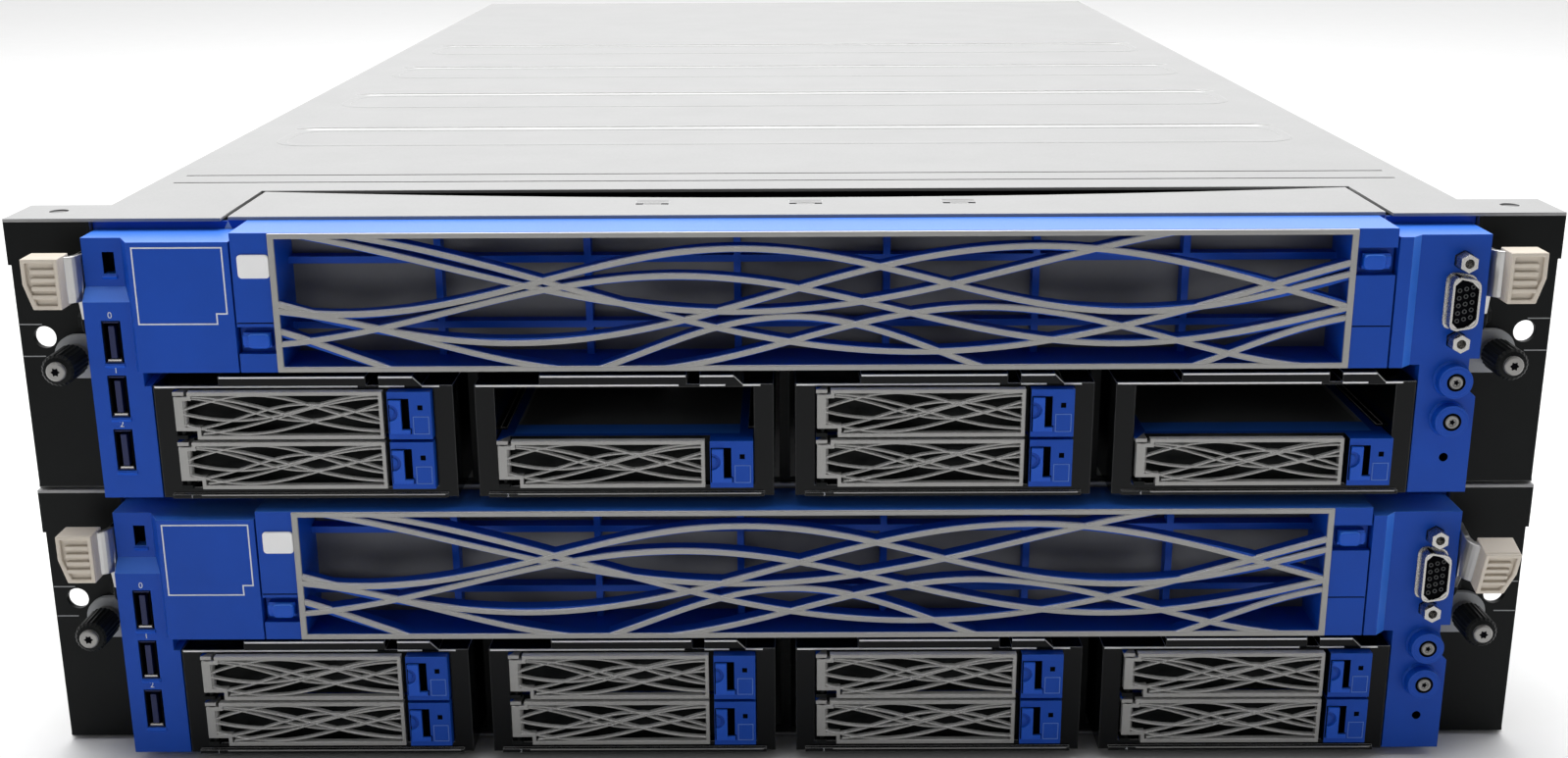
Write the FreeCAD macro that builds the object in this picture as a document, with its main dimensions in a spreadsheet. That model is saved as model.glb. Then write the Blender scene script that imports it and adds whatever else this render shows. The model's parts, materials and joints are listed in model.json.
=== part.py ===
import FreeCAD, Part
import os
from math import atan2, cos, pi, sin
from types import SimpleNamespace

import Sketcher

# Rack server of two stacked 2U enclosures, each holding one slide-out blade.
# X runs to the right as seen from the front, Y from the front to the rear, Z up.
# The origin is on the underside, midway across, in the plane where the rack ears
# meet the rack posts. Everything of one unit is drawn for the lower unit and is
# lifted by the unit pitch for the upper one.

UNITS = ("lower", "upper")
MODULES = (1, 2, 3, 4)
BAYS = ("bottom", "top")
EMPTY_BAYS = {("upper", 2, "top"), ("upper", 4, "top")}

DIMENSIONS = (
    ("ear_width", 25.7, "rack ear beside the enclosure"),
    ("rack_hole_inset", 8.75, "rack screw inside the outer edge of its ear"),
    ("rack_hole_height", 50.8, "rack screw above the underside of its unit"),
    ("rack_hole_diameter", 7.1, "clearance hole for a rack screw"),
    ("unit_pitch", 88.9, "two rack units"),
    ("stack_gap", 0.3, "air between the stacked enclosures"),
    ("ear_plate", 2.0, "thickness of a rack ear"),
    ("ear_leg", 60.0, "leg of the ear along the side of the enclosure"),
    ("ear_relief", 1.0, "lower part of the ear set back from its upper corner"),
    ("ear_relief_height", 74.0, "height where the set-back ends"),
    ("wing_depth", 20.5, "depth of the cover and floor wings over the ears"),
    ("wing_dimple", 6.0, "diameter of the dimple in a cover wing"),
    ("chassis_width", 431.2, "outside width of the enclosure"),
    ("chassis_depth", 795.0, "rack post plane to the rear panel"),
    ("sheet", 1.0, "enclosure sheet steel"),
    ("slide_gap", 0.3, "running clearance between sliding pieces"),
    ("notch_left_margin", 41.6, "cover notch inside the left side"),
    ("notch_right_margin", 27.6, "cover notch inside the right side"),
    ("notch_depth", 44.0, "cover notch behind the rack post plane"),
    ("plate_seam", 1.8, "gap between the front plate and the cover"),
    ("plate_bow", 14.0, "bow of the rear edge of the front plate"),
    ("plate_slot_length", 10.5, "vent slots in the front plate"),
    ("plate_slot_width", 2.0, "vent slots in the front plate"),
    ("plate_slot_pitch", 49.0, "between the pairs of vent slots"),
    ("rib_pitch", 106.0, "between the pressed ribs of the cover"),
    ("rib_first", 179.0, "first pressed rib behind the rack post plane"),
    ("rib_margin", 23.6, "end of a pressed rib inside the side"),
    ("rib_width", 7.0, "width of a pressed rib"),
    ("rib_depth", 0.5, "depth of the pressings"),
    ("seam_first", 59.0, "first cross line of the cover"),
    ("seam_pitch", 14.0, "between the two cross lines"),
    ("seam_width", 1.5, "width of a cross line"),
    ("blade_length", 560.0, "depth of the blade tray"),
    ("blade_sheet", 1.0, "blade tray sheet steel"),
    ("panel_inset", 0.8, "control panels inside the blade sides"),
    ("panel_bottom", 2.6, "lower edge of the front panels"),
    ("panel_top", 84.9, "upper edge of the control panels"),
    ("column_width", 16.2, "connector column of the left panel"),
    ("column_reach", 17.0, "front of the connector column"),
    ("column_step", 4.0, "set-back above the connector column"),
    ("column_ledge", 65.7, "height where the set-back starts"),
    ("label_width", 30.6, "blank label field beside the column"),
    ("front_reach", 20.0, "front of bezel and label field"),
    ("right_column_width", 18.2, "button column of the right panel"),
    ("right_head_width", 28.8, "head of the right panel"),
    ("right_reach", 16.5, "front of the right panel"),
    ("column_foot", 2.1, "lower part of the left column, wider by"),
    ("column_foot_top", 39.0, "height of that wider part"),
    ("socket_inset", 7.9, "sockets and buttons inside the edge of their panel"),
    ("usb_width", 5.3, "USB shell"),
    ("usb_height", 13.0, "USB shell"),
    ("usb_depth", 12.0, "USB shell"),
    ("usb_wall", 0.4, "USB shell"),
    ("usb_tongue", 1.8, "USB contact tongue"),
    ("usb_tongue_margin", 1.0, "tongue inside the ends of the shell"),
    ("usb_well", 10.0, "depth inside the USB shell"),
    ("usb_first", 18.3, "height of the lowest USB socket"),
    ("usb_pitch", 17.4, "between the USB sockets"),
    ("video_height", 64.4, "height of the video connector"),
    ("video_seat", 3.0, "video connector sunk into its panel"),
    ("video_wall", 0.6, "video shell"),
    ("video_screw_span", 25.0, "between the jack screws"),
    ("video_shell_long", 16.9, "video shell, long side"),
    ("video_shell_short", 14.6, "video shell, short side"),
    ("video_shell_width", 8.4, "video shell"),
    ("video_shell_reach", 5.0, "video shell ahead of its panel"),
    ("jack_radius", 2.9, "hexagonal jack screw over its corners"),
    ("jack_bore", 1.4, "threaded bore of a jack screw"),
    ("button_first", 39.5, "height of the power button"),
    ("button_pitch", 12.7, "between power, locate and reset"),
    ("button_radius", 2.1, "push button"),
    ("button_travel", 1.5, "push button"),
    ("boss_radius", 5.2, "boss round a button"),
    ("boss_reach", 4.0, "boss ahead of its panel"),
    ("button_crown", 0.5, "how far a button stands out of its boss"),
    ("edge_notch_width", 3.0, "notch of the right panel beside the tab"),
    ("edge_notch_low", 33.5, "lower end of that notch"),
    ("edge_notch_high", 46.0, "upper end of that notch"),
    ("slot_width", 3.6, "slot at the top of the left panel"),
    ("slot_height", 6.8, "slot at the top of the left panel"),
    ("slot_depth", 4.0, "slot and reset pinhole"),
    ("reset_radius", 1.4, "reset pinhole"),
    ("fit_gap", 0.3, "clearance round pins, buttons and sockets"),
    ("thumb_offset", 8.8, "captive thumbscrew outside the edge of its panel"),
    ("thumb_height", 45.0, "captive thumbscrew above the underside"),
    ("thumb_radius", 5.2, "thumbscrew knob"),
    ("thumb_head_radius", 3.0, "thumbscrew slotted head"),
    ("thumb_shank_radius", 2.6, "thumbscrew shank"),
    ("thumb_reach", 22.0, "front of the thumbscrew"),
    ("thumb_shank_length", 8.0, "shank behind the rack post plane"),
    ("tab_radius", 7.0, "rounded tab that carries the thumbscrew"),
    ("tab_plate", 2.0, "thickness of that tab"),
    ("lever_plate", 2.0, "thickness of an ejector lever"),
    ("lever_pivot_reach", 8.0, "lever pivot ahead of the rack post plane"),
    ("lever_pivot_height", 58.0, "lever pivot above the underside"),
    ("lever_boss", 4.8, "radius of the lever's eye"),
    ("lever_pin", 1.8, "radius of the lever's pin"),
    ("grip_bottom", 64.7, "lower edge of the lever grip"),
    ("grip_height", 15.7, "lever grip"),
    ("grip_offset", 15.2, "outer edge of the lever grip outside the panel"),
    ("grip_width", 11.2, "lever grip"),
    ("grip_reach", 22.5, "front of the lever grip"),
    ("grip_face", 4.5, "grip ahead of its steel flange"),
    ("grip_wall", 0.6, "grip round its steel flange"),
    ("grip_depth", 9.0, "grip from front to back"),
    ("grip_slant", 2.4, "taper of the grip's outer lower corner"),
    ("groove_width", 1.2, "groove between the grip's ribs"),
    ("groove_depth", 1.2, "groove between the grip's ribs"),
    ("groove_margin", 1.3, "end of a groove inside the edge of the grip"),
    ("bezel_seam", 0.6, "gap between bezel and control panels"),
    ("bezel_left_end", 13.4, "solid left end of the bezel"),
    ("bezel_right_end", 14.0, "solid right end of the bezel"),
    ("bezel_bar", 1.8, "upper and lower bar of the bezel"),
    ("module_clearance", 5.1, "between fan modules and bezel"),
    ("grille_rim", 2.0, "raised rim beside the opening of the bezel"),
    ("catch_width", 8.4, "finger catch in the end of the bezel"),
    ("catch_height", 4.7, "finger catch in the end of the bezel"),
    ("catch_sink", 0.6, "finger catch behind the face of the bezel"),
    ("catch_offset", 6.0, "finger catch inside the height of the opening"),
    ("catch_margin", 1.9, "recess above and below the finger catch"),
    ("catch_recess", 3.2, "depth of that recess"),
    ("strand_width", 2.1, "wave strand of the grille"),
    ("strand_depth", 5.0, "wave strand of the grille"),
    ("duct_bar", 2.2, "duct grid behind the grille"),
    ("duct_depth", 5.0, "duct grid behind the grille"),
    ("filter_sheet", 1.0, "dust filter behind the duct grid"),
    ("module_gap", 6.7, "between neighbouring fan modules"),
    ("module_side_gap", 2.6, "between outer modules and panels"),
    ("module_frame", 6.1, "side frame of a fan module"),
    ("module_sill", 3.4, "frame below the lower drive"),
    ("module_roof", 1.0, "wall above the upper drive"),
    ("module_reach", 17.0, "front of a fan module"),
    ("module_back", 150.0, "rear of a fan module"),
    ("module_partition", 12.0, "wall between drives and fans"),
    ("fan_radius", 14.5, "fan bore"),
    ("fan_hub", 6.5, "fan hub"),
    ("fan_depth", 18.0, "fan rotor"),
    ("fan_spoke", 1.2, "half thickness of a fan spoke"),
    ("ledge_width", 2.0, "ledge that carries the upper drive"),
    ("ledge_thickness", 0.7, "ledge that carries the upper drive"),
    ("release_height", 2.9, "release bar on top of a fan module"),
    ("release_start", 20.1, "release bar from the left side of the module"),
    ("release_length", 45.5, "release bar on top of a fan module"),
    ("release_lever_gap", 4.0, "between release bar and release lever"),
    ("release_lever_length", 10.4, "flat top of the release lever"),
    ("lip_margin", 3.0, "front lip inside the sides of the module"),
    ("lip_height", 1.3, "front lip below the drives"),
    ("lip_reach", 1.2, "front lip ahead of the module"),
    ("release_gap", 1.0, "bulkhead above the release bar"),
    ("drive_height", 15.3, "drive carrier"),
    ("drive_gap", 0.15, "drive carrier above and below its ledge"),
    ("drive_back", 92.0, "rear of a drive carrier"),
    ("drive_face", 14.0, "front wall of a drive carrier"),
    ("drive_wall", 2.0, "front wall of a drive carrier"),
    ("carrier_floor", 1.2, "floor of a drive carrier"),
    ("carrier_rail", 4.4, "side rail of a drive carrier"),
    ("disk_height", 12.5, "disk in its carrier"),
    ("latch_width", 13.4, "latch block of a drive carrier"),
    ("latch_slide_width", 4.4, "slider of the latch"),
    ("latch_slot_width", 2.2, "slot beside the slider"),
    ("latch_slot_margin", 2.2, "slot inside the height of the latch"),
    ("latch_slot_depth", 3.0, "slot beside the slider"),
    ("latch_lamp", 1.6, "lamp window of the latch"),
    ("latch_lamp_height", 9.4, "lamp window above the foot of the latch"),
    ("handle_gap", 0.4, "between handle and latch block"),
    ("handle_plate", 2.6, "thickness of the drive handle"),
    ("handle_knuckle", 1.8, "radius of the handle's hinge end"),
    ("handle_pin", 0.7, "radius of the handle's hinge pin"),
    ("handle_lug", 1.2, "lugs that hold the hinge pin"),
    ("handle_bar", 1.2, "rim of the drive handle"),
    ("handle_post", 3.3, "hinge side of the drive handle"),
    ("handle_strand", 0.9, "strand of the drive handle"),
    ("handle_step_width", 6.4, "step in the lower hinge corner"),
    ("handle_step_height", 2.8, "step in the lower hinge corner"),
    ("handle_notch", 4.2, "upper hinge corner, cut clear of its lug"),
    ("board_thickness", 1.6, "system board"),
    ("board_height", 8.0, "system board above the underside"),
    ("board_front", 175.0, "front edge of the system board"),
    ("board_length", 360.0, "system board"),
    ("board_margin", 13.3, "system board inside the blade sides"),
    ("standoff_radius", 3.0, "board standoff"),
    ("sink_width", 90.0, "heat sink"),
    ("sink_length", 110.0, "heat sink"),
    ("sink_height", 58.0, "heat sink"),
    ("sink_base", 8.0, "heat sink base"),
    ("sink_fin", 2.0, "heat sink fin"),
    ("sink_offset", 95.0, "heat sink from the middle"),
    ("memory_length", 133.0, "memory module"),
    ("memory_height", 31.0, "memory module"),
    ("memory_thickness", 4.0, "memory module"),
    ("memory_pitch", 10.0, "between memory modules"),
    ("supply_width", 73.5, "power supply"),
    ("supply_height", 40.0, "power supply"),
    ("supply_depth", 185.0, "power supply"),
    ("supply_pitch", 82.0, "between the power supplies"),
    ("supply_side", 13.85, "outer power supply inside the side of the enclosure"),
    ("inlet_width", 27.0, "mains inlet"),
    ("inlet_height", 20.0, "mains inlet"),
    ("inlet_depth", 16.0, "mains inlet"),
    ("supply_margin", 6.0, "inlet and pull handle inside the edges of the supply"),
    ("pull_width", 12.0, "pull handle of a power supply"),
    ("pull_height", 34.0, "pull handle of a power supply"),
    ("pull_reach", 26.0, "pull handle behind the rear panel"),
    ("pull_bar", 4.0, "thickness of the pull handle"),
    ("vent_width", 6.0, "rear vent slot"),
    ("vent_height", 60.0, "rear vent slot"),
    ("vent_pitch", 12.0, "between rear vent slots"),
)

# Waves of the grille: middle height, amplitude, place of a crest and wavelength,
# the first two as shares of the opening's height, the last two of its width.
GRILLE_WAVES = (
    (0.66, 0.25, 0.43, 0.74),
    (0.43, 0.27, 0.37, 0.84),
    (0.55, 0.37, 0.71, 0.98),
    (0.60, 0.50, -0.05, 1.30),
    (0.20, 0.25, 0.66, 0.70),
    (0.78, 0.36, 0.98, 1.10),
    (0.10, 0.28, -0.08, 0.56),
)
POINTS_PER_WAVE = 4
WAVE_OVERRUN = 0.02
DUCT_COLUMNS = 6
DUCT_ROWS = (0.24, 0.76)
COVER_RIBS = 4
SINK_FINS = 9
MEMORY_BANK = 6
REAR_VENTS = 14
GRIP_GROOVES = 5
# Waves of a drive handle, in the same terms.
HANDLE_WAVES = (
    (0.54, 0.46, 0.02, 1.80),
    (0.44, 0.28, 0.44, 0.95),
    (0.46, 0.44, 1.02, 1.90),
)
FAN_SIDES = 16
HUB_SIDES = 12
KNOB_SIDES = 20
KNUCKLE_SIDES = 8
HEXAGON = 6
LEVER_PHOTO_TILT = 18

doc = FreeCAD.newDocument("RackBladeServer")
sheet = doc.addObject("Spreadsheet::Sheet", "Dimensions")


class Size:
    """A length with its value and the spreadsheet formula that gives it."""

    def __init__(self, text, value):
        self.text = text
        self.value = value

    def __add__(self, other):
        other = as_size(other)
        return Size(f"({self.text} + {other.text})", self.value + other.value)

    def __sub__(self, other):
        other = as_size(other)
        return Size(f"({self.text} - {other.text})", self.value - other.value)

    def __mul__(self, other):
        other = as_size(other)
        return Size(f"({self.text} * {other.text})", self.value * other.value)

    def __truediv__(self, other):
        other = as_size(other)
        return Size(f"({self.text} / {other.text})", self.value / other.value)

    def __neg__(self):
        return Size(f"(0 - {self.text})", -self.value)

    def __radd__(self, other):
        return as_size(other) + self

    def __rsub__(self, other):
        return as_size(other) - self

    def __rmul__(self, other):
        return as_size(other) * self


def as_size(number):
    """A plain number as a Size."""
    if isinstance(number, Size):
        return number
    return Size(f"({number:.6f})", float(number))


def fill_sheet():
    """Write the driving dimensions to the spreadsheet and return them by name."""
    sizes = {}
    for row, (alias, value, meaning) in enumerate(DIMENSIONS, start=1):
        sheet.set(f"A{row}", meaning)
        sheet.set(f"B{row}", str(value))
        sheet.setAlias(f"B{row}", alias)
        sizes[alias] = Size(f"Dimensions.{alias}", value)
    doc.recompute()
    return SimpleNamespace(**sizes)


def bind(item, prop, length):
    """Tie a property to the spreadsheet."""
    item.setExpression(prop, as_size(length).text)


def new_body(name):
    return doc.addObject("PartDesign::Body", name)


def rectangle(left, low, right, high):
    return [(left, low), (right, low), (right, high), (left, high)]


def circle(across, up, radius):
    return ("circle", across, up, radius)


def regular(across, up, radius, sides):
    """A regular outline with its corners on a circle."""
    turns = [2 * pi * (corner + 0.5) / sides for corner in range(sides)]
    return [(across + radius * cos(turn), up + radius * sin(turn)) for turn in turns]


VIEW_PLANES = {"plan": "XY_Plane", "front": "XZ_Plane", "side": "YZ_Plane"}


def draw_polygon(sketch, points):
    """Draw a closed outline with every corner placed by the spreadsheet."""
    first = sketch.GeometryCount
    count = len(points)
    corners = [FreeCAD.Vector(as_size(u).value, as_size(v).value, 0) for u, v in points]
    edges = [Part.LineSegment(corners[i], corners[(i + 1) % count]) for i in range(count)]
    sketch.addGeometry(edges, False)
    joins = [Sketcher.Constraint("Coincident", first + i, 2, first + (i + 1) % count, 1)
             for i in range(count)]
    sketch.addConstraint(joins)
    for i, (u, v) in enumerate(points):
        place_point(sketch, first + i, 1, u, v)


def draw_circle(sketch, across, up, radius):
    index = sketch.GeometryCount
    centre = FreeCAD.Vector(as_size(across).value, as_size(up).value, 0)
    sketch.addGeometry(Part.Circle(centre, FreeCAD.Vector(0, 0, 1), as_size(radius).value), False)
    place_point(sketch, index, 3, across, up)
    limit = sketch.addConstraint(Sketcher.Constraint("Radius", index, as_size(radius).value))
    bind(sketch, f"Constraints[{limit}]", radius)


def place_point(sketch, geometry, point, across, up):
    """Hold one point of a sketch at a place that the spreadsheet gives."""
    for kind, length in (("DistanceX", across), ("DistanceY", up)):
        length = as_size(length)
        limit = sketch.addConstraint(
            Sketcher.Constraint(kind, -1, 1, geometry, point, length.value))
        bind(sketch, f"Constraints[{limit}]", length)


def draw(body, view, outlines, offset):
    """A sketch of closed outlines in the plan, front or side view."""
    sketch = body.newObject("Sketcher::SketchObject", f"{body.Name}Sketch")
    role = VIEW_PLANES[view]
    plane = next(item for item in body.Origin.OriginFeatures if item.Role == role)
    sketch.AttachmentSupport = [(plane, "")]
    sketch.MapMode = "FlatFace"
    bind(sketch, "AttachmentOffset.Base.z", offset)
    for outline in outlines:
        if outline[0] == "circle":
            draw_circle(sketch, *outline[1:])
        else:
            draw_polygon(sketch, outline)
    return sketch


def slab(body, view, outlines, low, high):
    """Pad outlines between two positions along the view's axis."""
    pad = body.newObject("PartDesign::Pad", f"{body.Name}Pad")
    pad.Profile = draw(body, view, outlines, -as_size(high) if view == "front" else low)
    bind(pad, "Length", as_size(high) - low)
    return pad


def cut(body, view, outlines, low, high):
    """Pocket outlines between two positions along the view's axis."""
    pocket = body.newObject("PartDesign::Pocket", f"{body.Name}Pocket")
    pocket.Profile = draw(body, view, outlines, -as_size(low) if view == "front" else high)
    bind(pocket, "Length", as_size(high) - low)
    return pocket


def repeat(body, feature, axis, pitch, count):
    """Repeat a feature in a straight row."""
    pattern = body.newObject("PartDesign::LinearPattern", f"{body.Name}Row")
    pattern.Originals = [feature]
    line = next(item for item in body.Origin.OriginFeatures if item.Role == axis)
    pattern.Direction = (line, [""])
    pattern.Occurrences = count
    pattern.Mode = "Spacing"
    bind(pattern, "Offset", pitch)
    body.Tip = pattern
    return pattern


def box(name, left, front, low, width, depth, height):
    """A plain rectangular piece."""
    piece = doc.addObject("Part::Box", name)
    bind(piece, "Length", width)
    bind(piece, "Width", depth)
    bind(piece, "Height", height)
    bind(piece, "Placement.Base.x", left)
    bind(piece, "Placement.Base.y", front)
    bind(piece, "Placement.Base.z", low)
    return piece


def copy(source, name, across=0, deep=0, up=0):
    """The same piece again, at another place."""
    link = doc.addObject("App::Link", name)
    link.LinkedObject = source
    link.LinkTransform = True
    bind(link, "Placement.Base.x", across)
    bind(link, "Placement.Base.y", deep)
    bind(link, "Placement.Base.z", up)
    return link


def mirror(source, name):
    """The same piece for the other side of the server."""
    image = doc.addObject("Part::Mirroring", name)
    image.Source = source
    image.Normal = (1, 0, 0)
    return image


def group(name, members):
    """Separate solids that share one node."""
    pieces = doc.addObject("Part::Compound", name)
    pieces.Links = members
    return pieces


d = fill_sheet()

# Heights and widths that several pieces share.
unit_height = d.unit_pitch - d.stack_gap
chassis_half = d.chassis_width / 2
ear_half = chassis_half + d.ear_width
notch_left = chassis_half - d.notch_left_margin
notch_right = chassis_half - d.notch_right_margin
cover_under = unit_height - d.sheet
front_edge = -d.ear_plate
blade_half = chassis_half - d.sheet - d.slide_gap
blade_under = d.sheet + d.slide_gap
blade_floor = blade_under + d.blade_sheet
blade_top = cover_under - d.slide_gap
panel_half = blade_half - d.panel_inset
column_inner = panel_half - d.column_width
label_inner = column_inner - d.label_width
right_head_inner = panel_half - d.right_head_width
right_column_inner = panel_half - d.right_column_width
module_half = (2 * column_inner - 2 * d.module_side_gap - 3 * d.module_gap) / 8
module_pitch = 2 * module_half + d.module_gap
module_bottom = blade_floor + d.slide_gap
bay_bottom = module_bottom + d.module_sill
bay_half = module_half - d.module_frame
drive_pitch = d.drive_height + 2 * d.drive_gap + d.ledge_thickness
bay_top = bay_bottom + drive_pitch + d.drive_height + d.slide_gap + d.drive_gap
module_top = bay_top + d.module_roof
drive_half = bay_half - d.slide_gap
bezel_low = module_top + d.module_clearance
bezel_left = d.bezel_seam - label_inner
bezel_right = right_head_inner - d.bezel_seam
grille_left = bezel_left + d.bezel_left_end
grille_right = bezel_right - d.bezel_right_end
grille_low = bezel_low + d.bezel_bar
grille_high = cover_under - d.bezel_bar
tab_front = front_edge - d.slide_gap - d.tab_plate
socket_axis = panel_half - d.socket_inset
thumb_axis = panel_half + d.thumb_offset
grip_outer = panel_half + d.grip_offset
handle_axis = d.handle_knuckle - drive_half + d.fit_gap
handle_axis_front = d.handle_knuckle - d.front_reach + d.fit_gap
supply_first = chassis_half - d.supply_side - d.supply_width / 2


def enclosure_tray():
    """Outer tray: floor, sides, rear panel and the floor wings under the ears."""
    body = new_body("EnclosureTray")
    inner = chassis_half - d.sheet
    profile = [(-chassis_half, 0), (chassis_half, 0), (chassis_half, cover_under), (inner, cover_under),
               (inner, d.sheet), (-inner, d.sheet), (-inner, cover_under), (-chassis_half, cover_under)]
    slab(body, "front", [profile], front_edge, d.chassis_depth)
    slab(body, "plan", [rectangle(-ear_half, 0, ear_half, d.wing_depth)], 0, d.sheet)
    rear = d.chassis_depth - d.sheet
    slab(body, "front", [rectangle(-chassis_half, 0, chassis_half, cover_under)], rear, d.chassis_depth)
    openings = []
    for index in range(2):
        middle = index * d.supply_pitch - supply_first
        half = d.supply_width / 2 + d.fit_gap
        top = d.sheet + d.supply_height + d.fit_gap
        openings.append(rectangle(middle - half, d.sheet, middle + half, top))
    cut(body, "front", openings, rear, d.chassis_depth)
    vent = rectangle(d.vent_pitch, d.vent_pitch, d.vent_pitch + d.vent_width, d.vent_pitch + d.vent_height)
    repeat(body, cut(body, "front", [vent], rear, d.chassis_depth), "X_Axis", d.vent_pitch, REAR_VENTS)
    return body


def top_cover():
    """Lid with wings over the ears, the front notch and pressed cross ribs."""
    body = new_body("TopCover")
    back = d.notch_depth
    outline = [(-chassis_half, d.chassis_depth), (-chassis_half, d.wing_depth), (-ear_half, d.wing_depth),
               (-ear_half, front_edge), (-notch_left, front_edge), (-notch_left, back),
               (notch_right, back), (notch_right, front_edge), (ear_half, front_edge),
               (ear_half, d.wing_depth), (chassis_half, d.wing_depth), (chassis_half, d.chassis_depth)]
    slab(body, "plan", [outline], cover_under, unit_height)
    pressed = unit_height - d.rib_depth
    dimple = d.wing_dimple / 2
    middle = (chassis_half + ear_half) / 2
    cut(body, "plan", [circle(-middle, d.wing_depth / 2, dimple), circle(middle, d.wing_depth / 2, dimple)],
        pressed, unit_height)
    for index in range(2):
        start = d.seam_first + index * d.seam_pitch
        end = chassis_half - d.rib_width
        line = rectangle(-end, start, end, start + d.seam_width)
        cut(body, "plan", [line], pressed, unit_height)
    flat = chassis_half - d.rib_margin
    tip = flat + d.rib_width
    rib = [(-tip, d.rib_first + d.rib_width / 2), (-flat, d.rib_first),
           (flat, d.rib_first), (tip, d.rib_first + d.rib_width / 2),
           (flat, d.rib_first + d.rib_width), (-flat, d.rib_first + d.rib_width)]
    repeat(body, cut(body, "plan", [rib], pressed, unit_height), "Y_Axis", d.rib_pitch, COVER_RIBS)
    return body


def rack_ear():
    """Right-hand ear: front plate with its screw holes and a leg along the chassis."""
    body = new_body("RackEar")
    edge = ear_half - d.ear_relief
    plate = [(chassis_half, d.sheet), (edge, d.sheet), (edge, d.ear_relief_height),
             (ear_half, d.ear_relief_height), (ear_half, cover_under), (chassis_half, cover_under)]
    slab(body, "front", [plate], front_edge, 0)
    leg = rectangle(chassis_half, 0, chassis_half + d.ear_plate, d.ear_leg)
    slab(body, "plan", [leg], d.sheet, cover_under)
    holes = [circle(ear_half - d.rack_hole_inset, d.rack_hole_height, d.rack_hole_diameter / 2),
             circle(thumb_axis, d.thumb_height, d.thumb_shank_radius + d.fit_gap)]
    cut(body, "front", holes, front_edge, 0)
    return body


def power_supply():
    """One supply drawn about its own middle, with mains inlet and pull handle."""
    body = new_body("PowerSupply")
    half = d.supply_width / 2
    back = d.chassis_depth
    top = d.sheet + d.supply_height
    slab(body, "front", [rectangle(-half, d.sheet, half, top)], back - d.supply_depth, back)
    middle = d.sheet + d.supply_height / 2
    inlet_left = d.supply_margin - half
    inlet_up = d.inlet_height / 2
    inlet = rectangle(inlet_left, middle - inlet_up, inlet_left + d.inlet_width, middle + inlet_up)
    cut(body, "front", [inlet], back - d.inlet_depth, back)
    right = half - d.supply_margin
    left = right - d.pull_width
    low = middle - d.pull_height / 2
    high = middle + d.pull_height / 2
    slab(body, "front", [rectangle(left, low, right, high)], back, back + d.pull_reach)
    finger_gap = rectangle(back, low + d.pull_bar, back + d.pull_reach - d.pull_bar, high - d.pull_bar)
    cut(body, "side", [finger_gap], left, right)
    return body


def blade_tray():
    """Blade tray: floor, sides, front bulkhead and the thumbscrew tabs."""
    body = new_body("BladeTray")
    inner = blade_half - d.blade_sheet
    profile = [(-blade_half, blade_under), (blade_half, blade_under), (blade_half, blade_top),
               (inner, blade_top), (inner, blade_floor), (-inner, blade_floor), (-inner, blade_top),
               (-blade_half, blade_top)]
    slab(body, "front", [profile], 0, d.blade_length)
    raised_left = d.plate_seam - notch_left
    raised_right = notch_right - d.plate_seam
    bulkhead = [(-blade_half, blade_under), (blade_half, blade_under), (blade_half, blade_top),
                (raised_right, blade_top), (raised_right, cover_under), (raised_left, cover_under),
                (raised_left, blade_top), (-blade_half, blade_top)]
    slab(body, "front", [bulkhead], 0, d.blade_sheet)
    bay_edge = module_half + d.module_gap / 4
    bay_lintel = module_top + d.release_height + d.release_gap
    windows = [rectangle(grille_left, grille_low, grille_right, grille_high)]
    for number in MODULES:
        middle = module_middle(number)
        windows.append(rectangle(middle - bay_edge, blade_floor, middle + bay_edge, bay_lintel))
    cut(body, "front", windows, 0, d.blade_sheet)
    for side in (-1, 1):
        axis = side * thumb_axis
        root = side * (panel_half - d.tab_radius)
        low = d.thumb_height - d.tab_radius
        high = d.thumb_height + d.tab_radius
        left, right = (axis, root) if side < 0 else (root, axis)
        tab_back = tab_front + d.tab_plate
        slab(body, "front", [rectangle(left, low, right, high)], tab_front, tab_back)
        slab(body, "front", [circle(axis, d.thumb_height, d.tab_radius)], tab_front, tab_back)
        foot = side * panel_half
        left, right = (foot, root) if side < 0 else (root, foot)
        slab(body, "front", [rectangle(left, low, right, high)], tab_front, 0)
        bore = d.thumb_shank_radius + d.fit_gap
        cut(body, "front", [circle(axis, d.thumb_height, bore)], tab_front, tab_back)
    return body


def front_plate():
    """Bowed plate that fills the notch of the cover."""
    body = new_body("FrontPlate")
    left = d.plate_seam - notch_left
    right = notch_right - d.plate_seam
    back = d.notch_depth - d.plate_seam
    slab(body, "plan", [rectangle(left, 0, right, back)], cover_under, unit_height)
    middle = (left + right) / 2
    reach = (right - left) / 2
    radius = (reach * reach + d.plate_bow * d.plate_bow) / (2 * d.plate_bow)
    cut(body, "plan", [circle(middle, back - d.plate_bow + radius, radius)], cover_under, unit_height)
    start = back / 2
    slots = []
    for index in range(3):
        slot_left = middle - d.plate_slot_pitch * (1 - index) - d.plate_slot_length / 2
        for row in range(2):
            low = start - row * 2 * d.plate_slot_width
            high = low + d.plate_slot_width
            slots.append(rectangle(slot_left, low, slot_left + d.plate_slot_length, high))
    cut(body, "plan", slots, cover_under, unit_height)
    return body


def module_middle(number):
    """Middle of one of the four fan modules."""
    return module_pitch * (number - 2.5)


def tab_notch(body, side):
    """Room for the thumbscrew tab in the edge of a control panel."""
    inner = side * (panel_half - d.tab_radius - d.fit_gap)
    outer = side * (panel_half + d.fit_gap)
    left, right = (outer, inner) if side < 0 else (inner, outer)
    low = d.thumb_height - d.tab_radius - d.fit_gap
    high = d.thumb_height + d.tab_radius + d.fit_gap
    cut(body, "front", [rectangle(left, low, right, high)], tab_front - d.fit_gap, 0)


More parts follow.
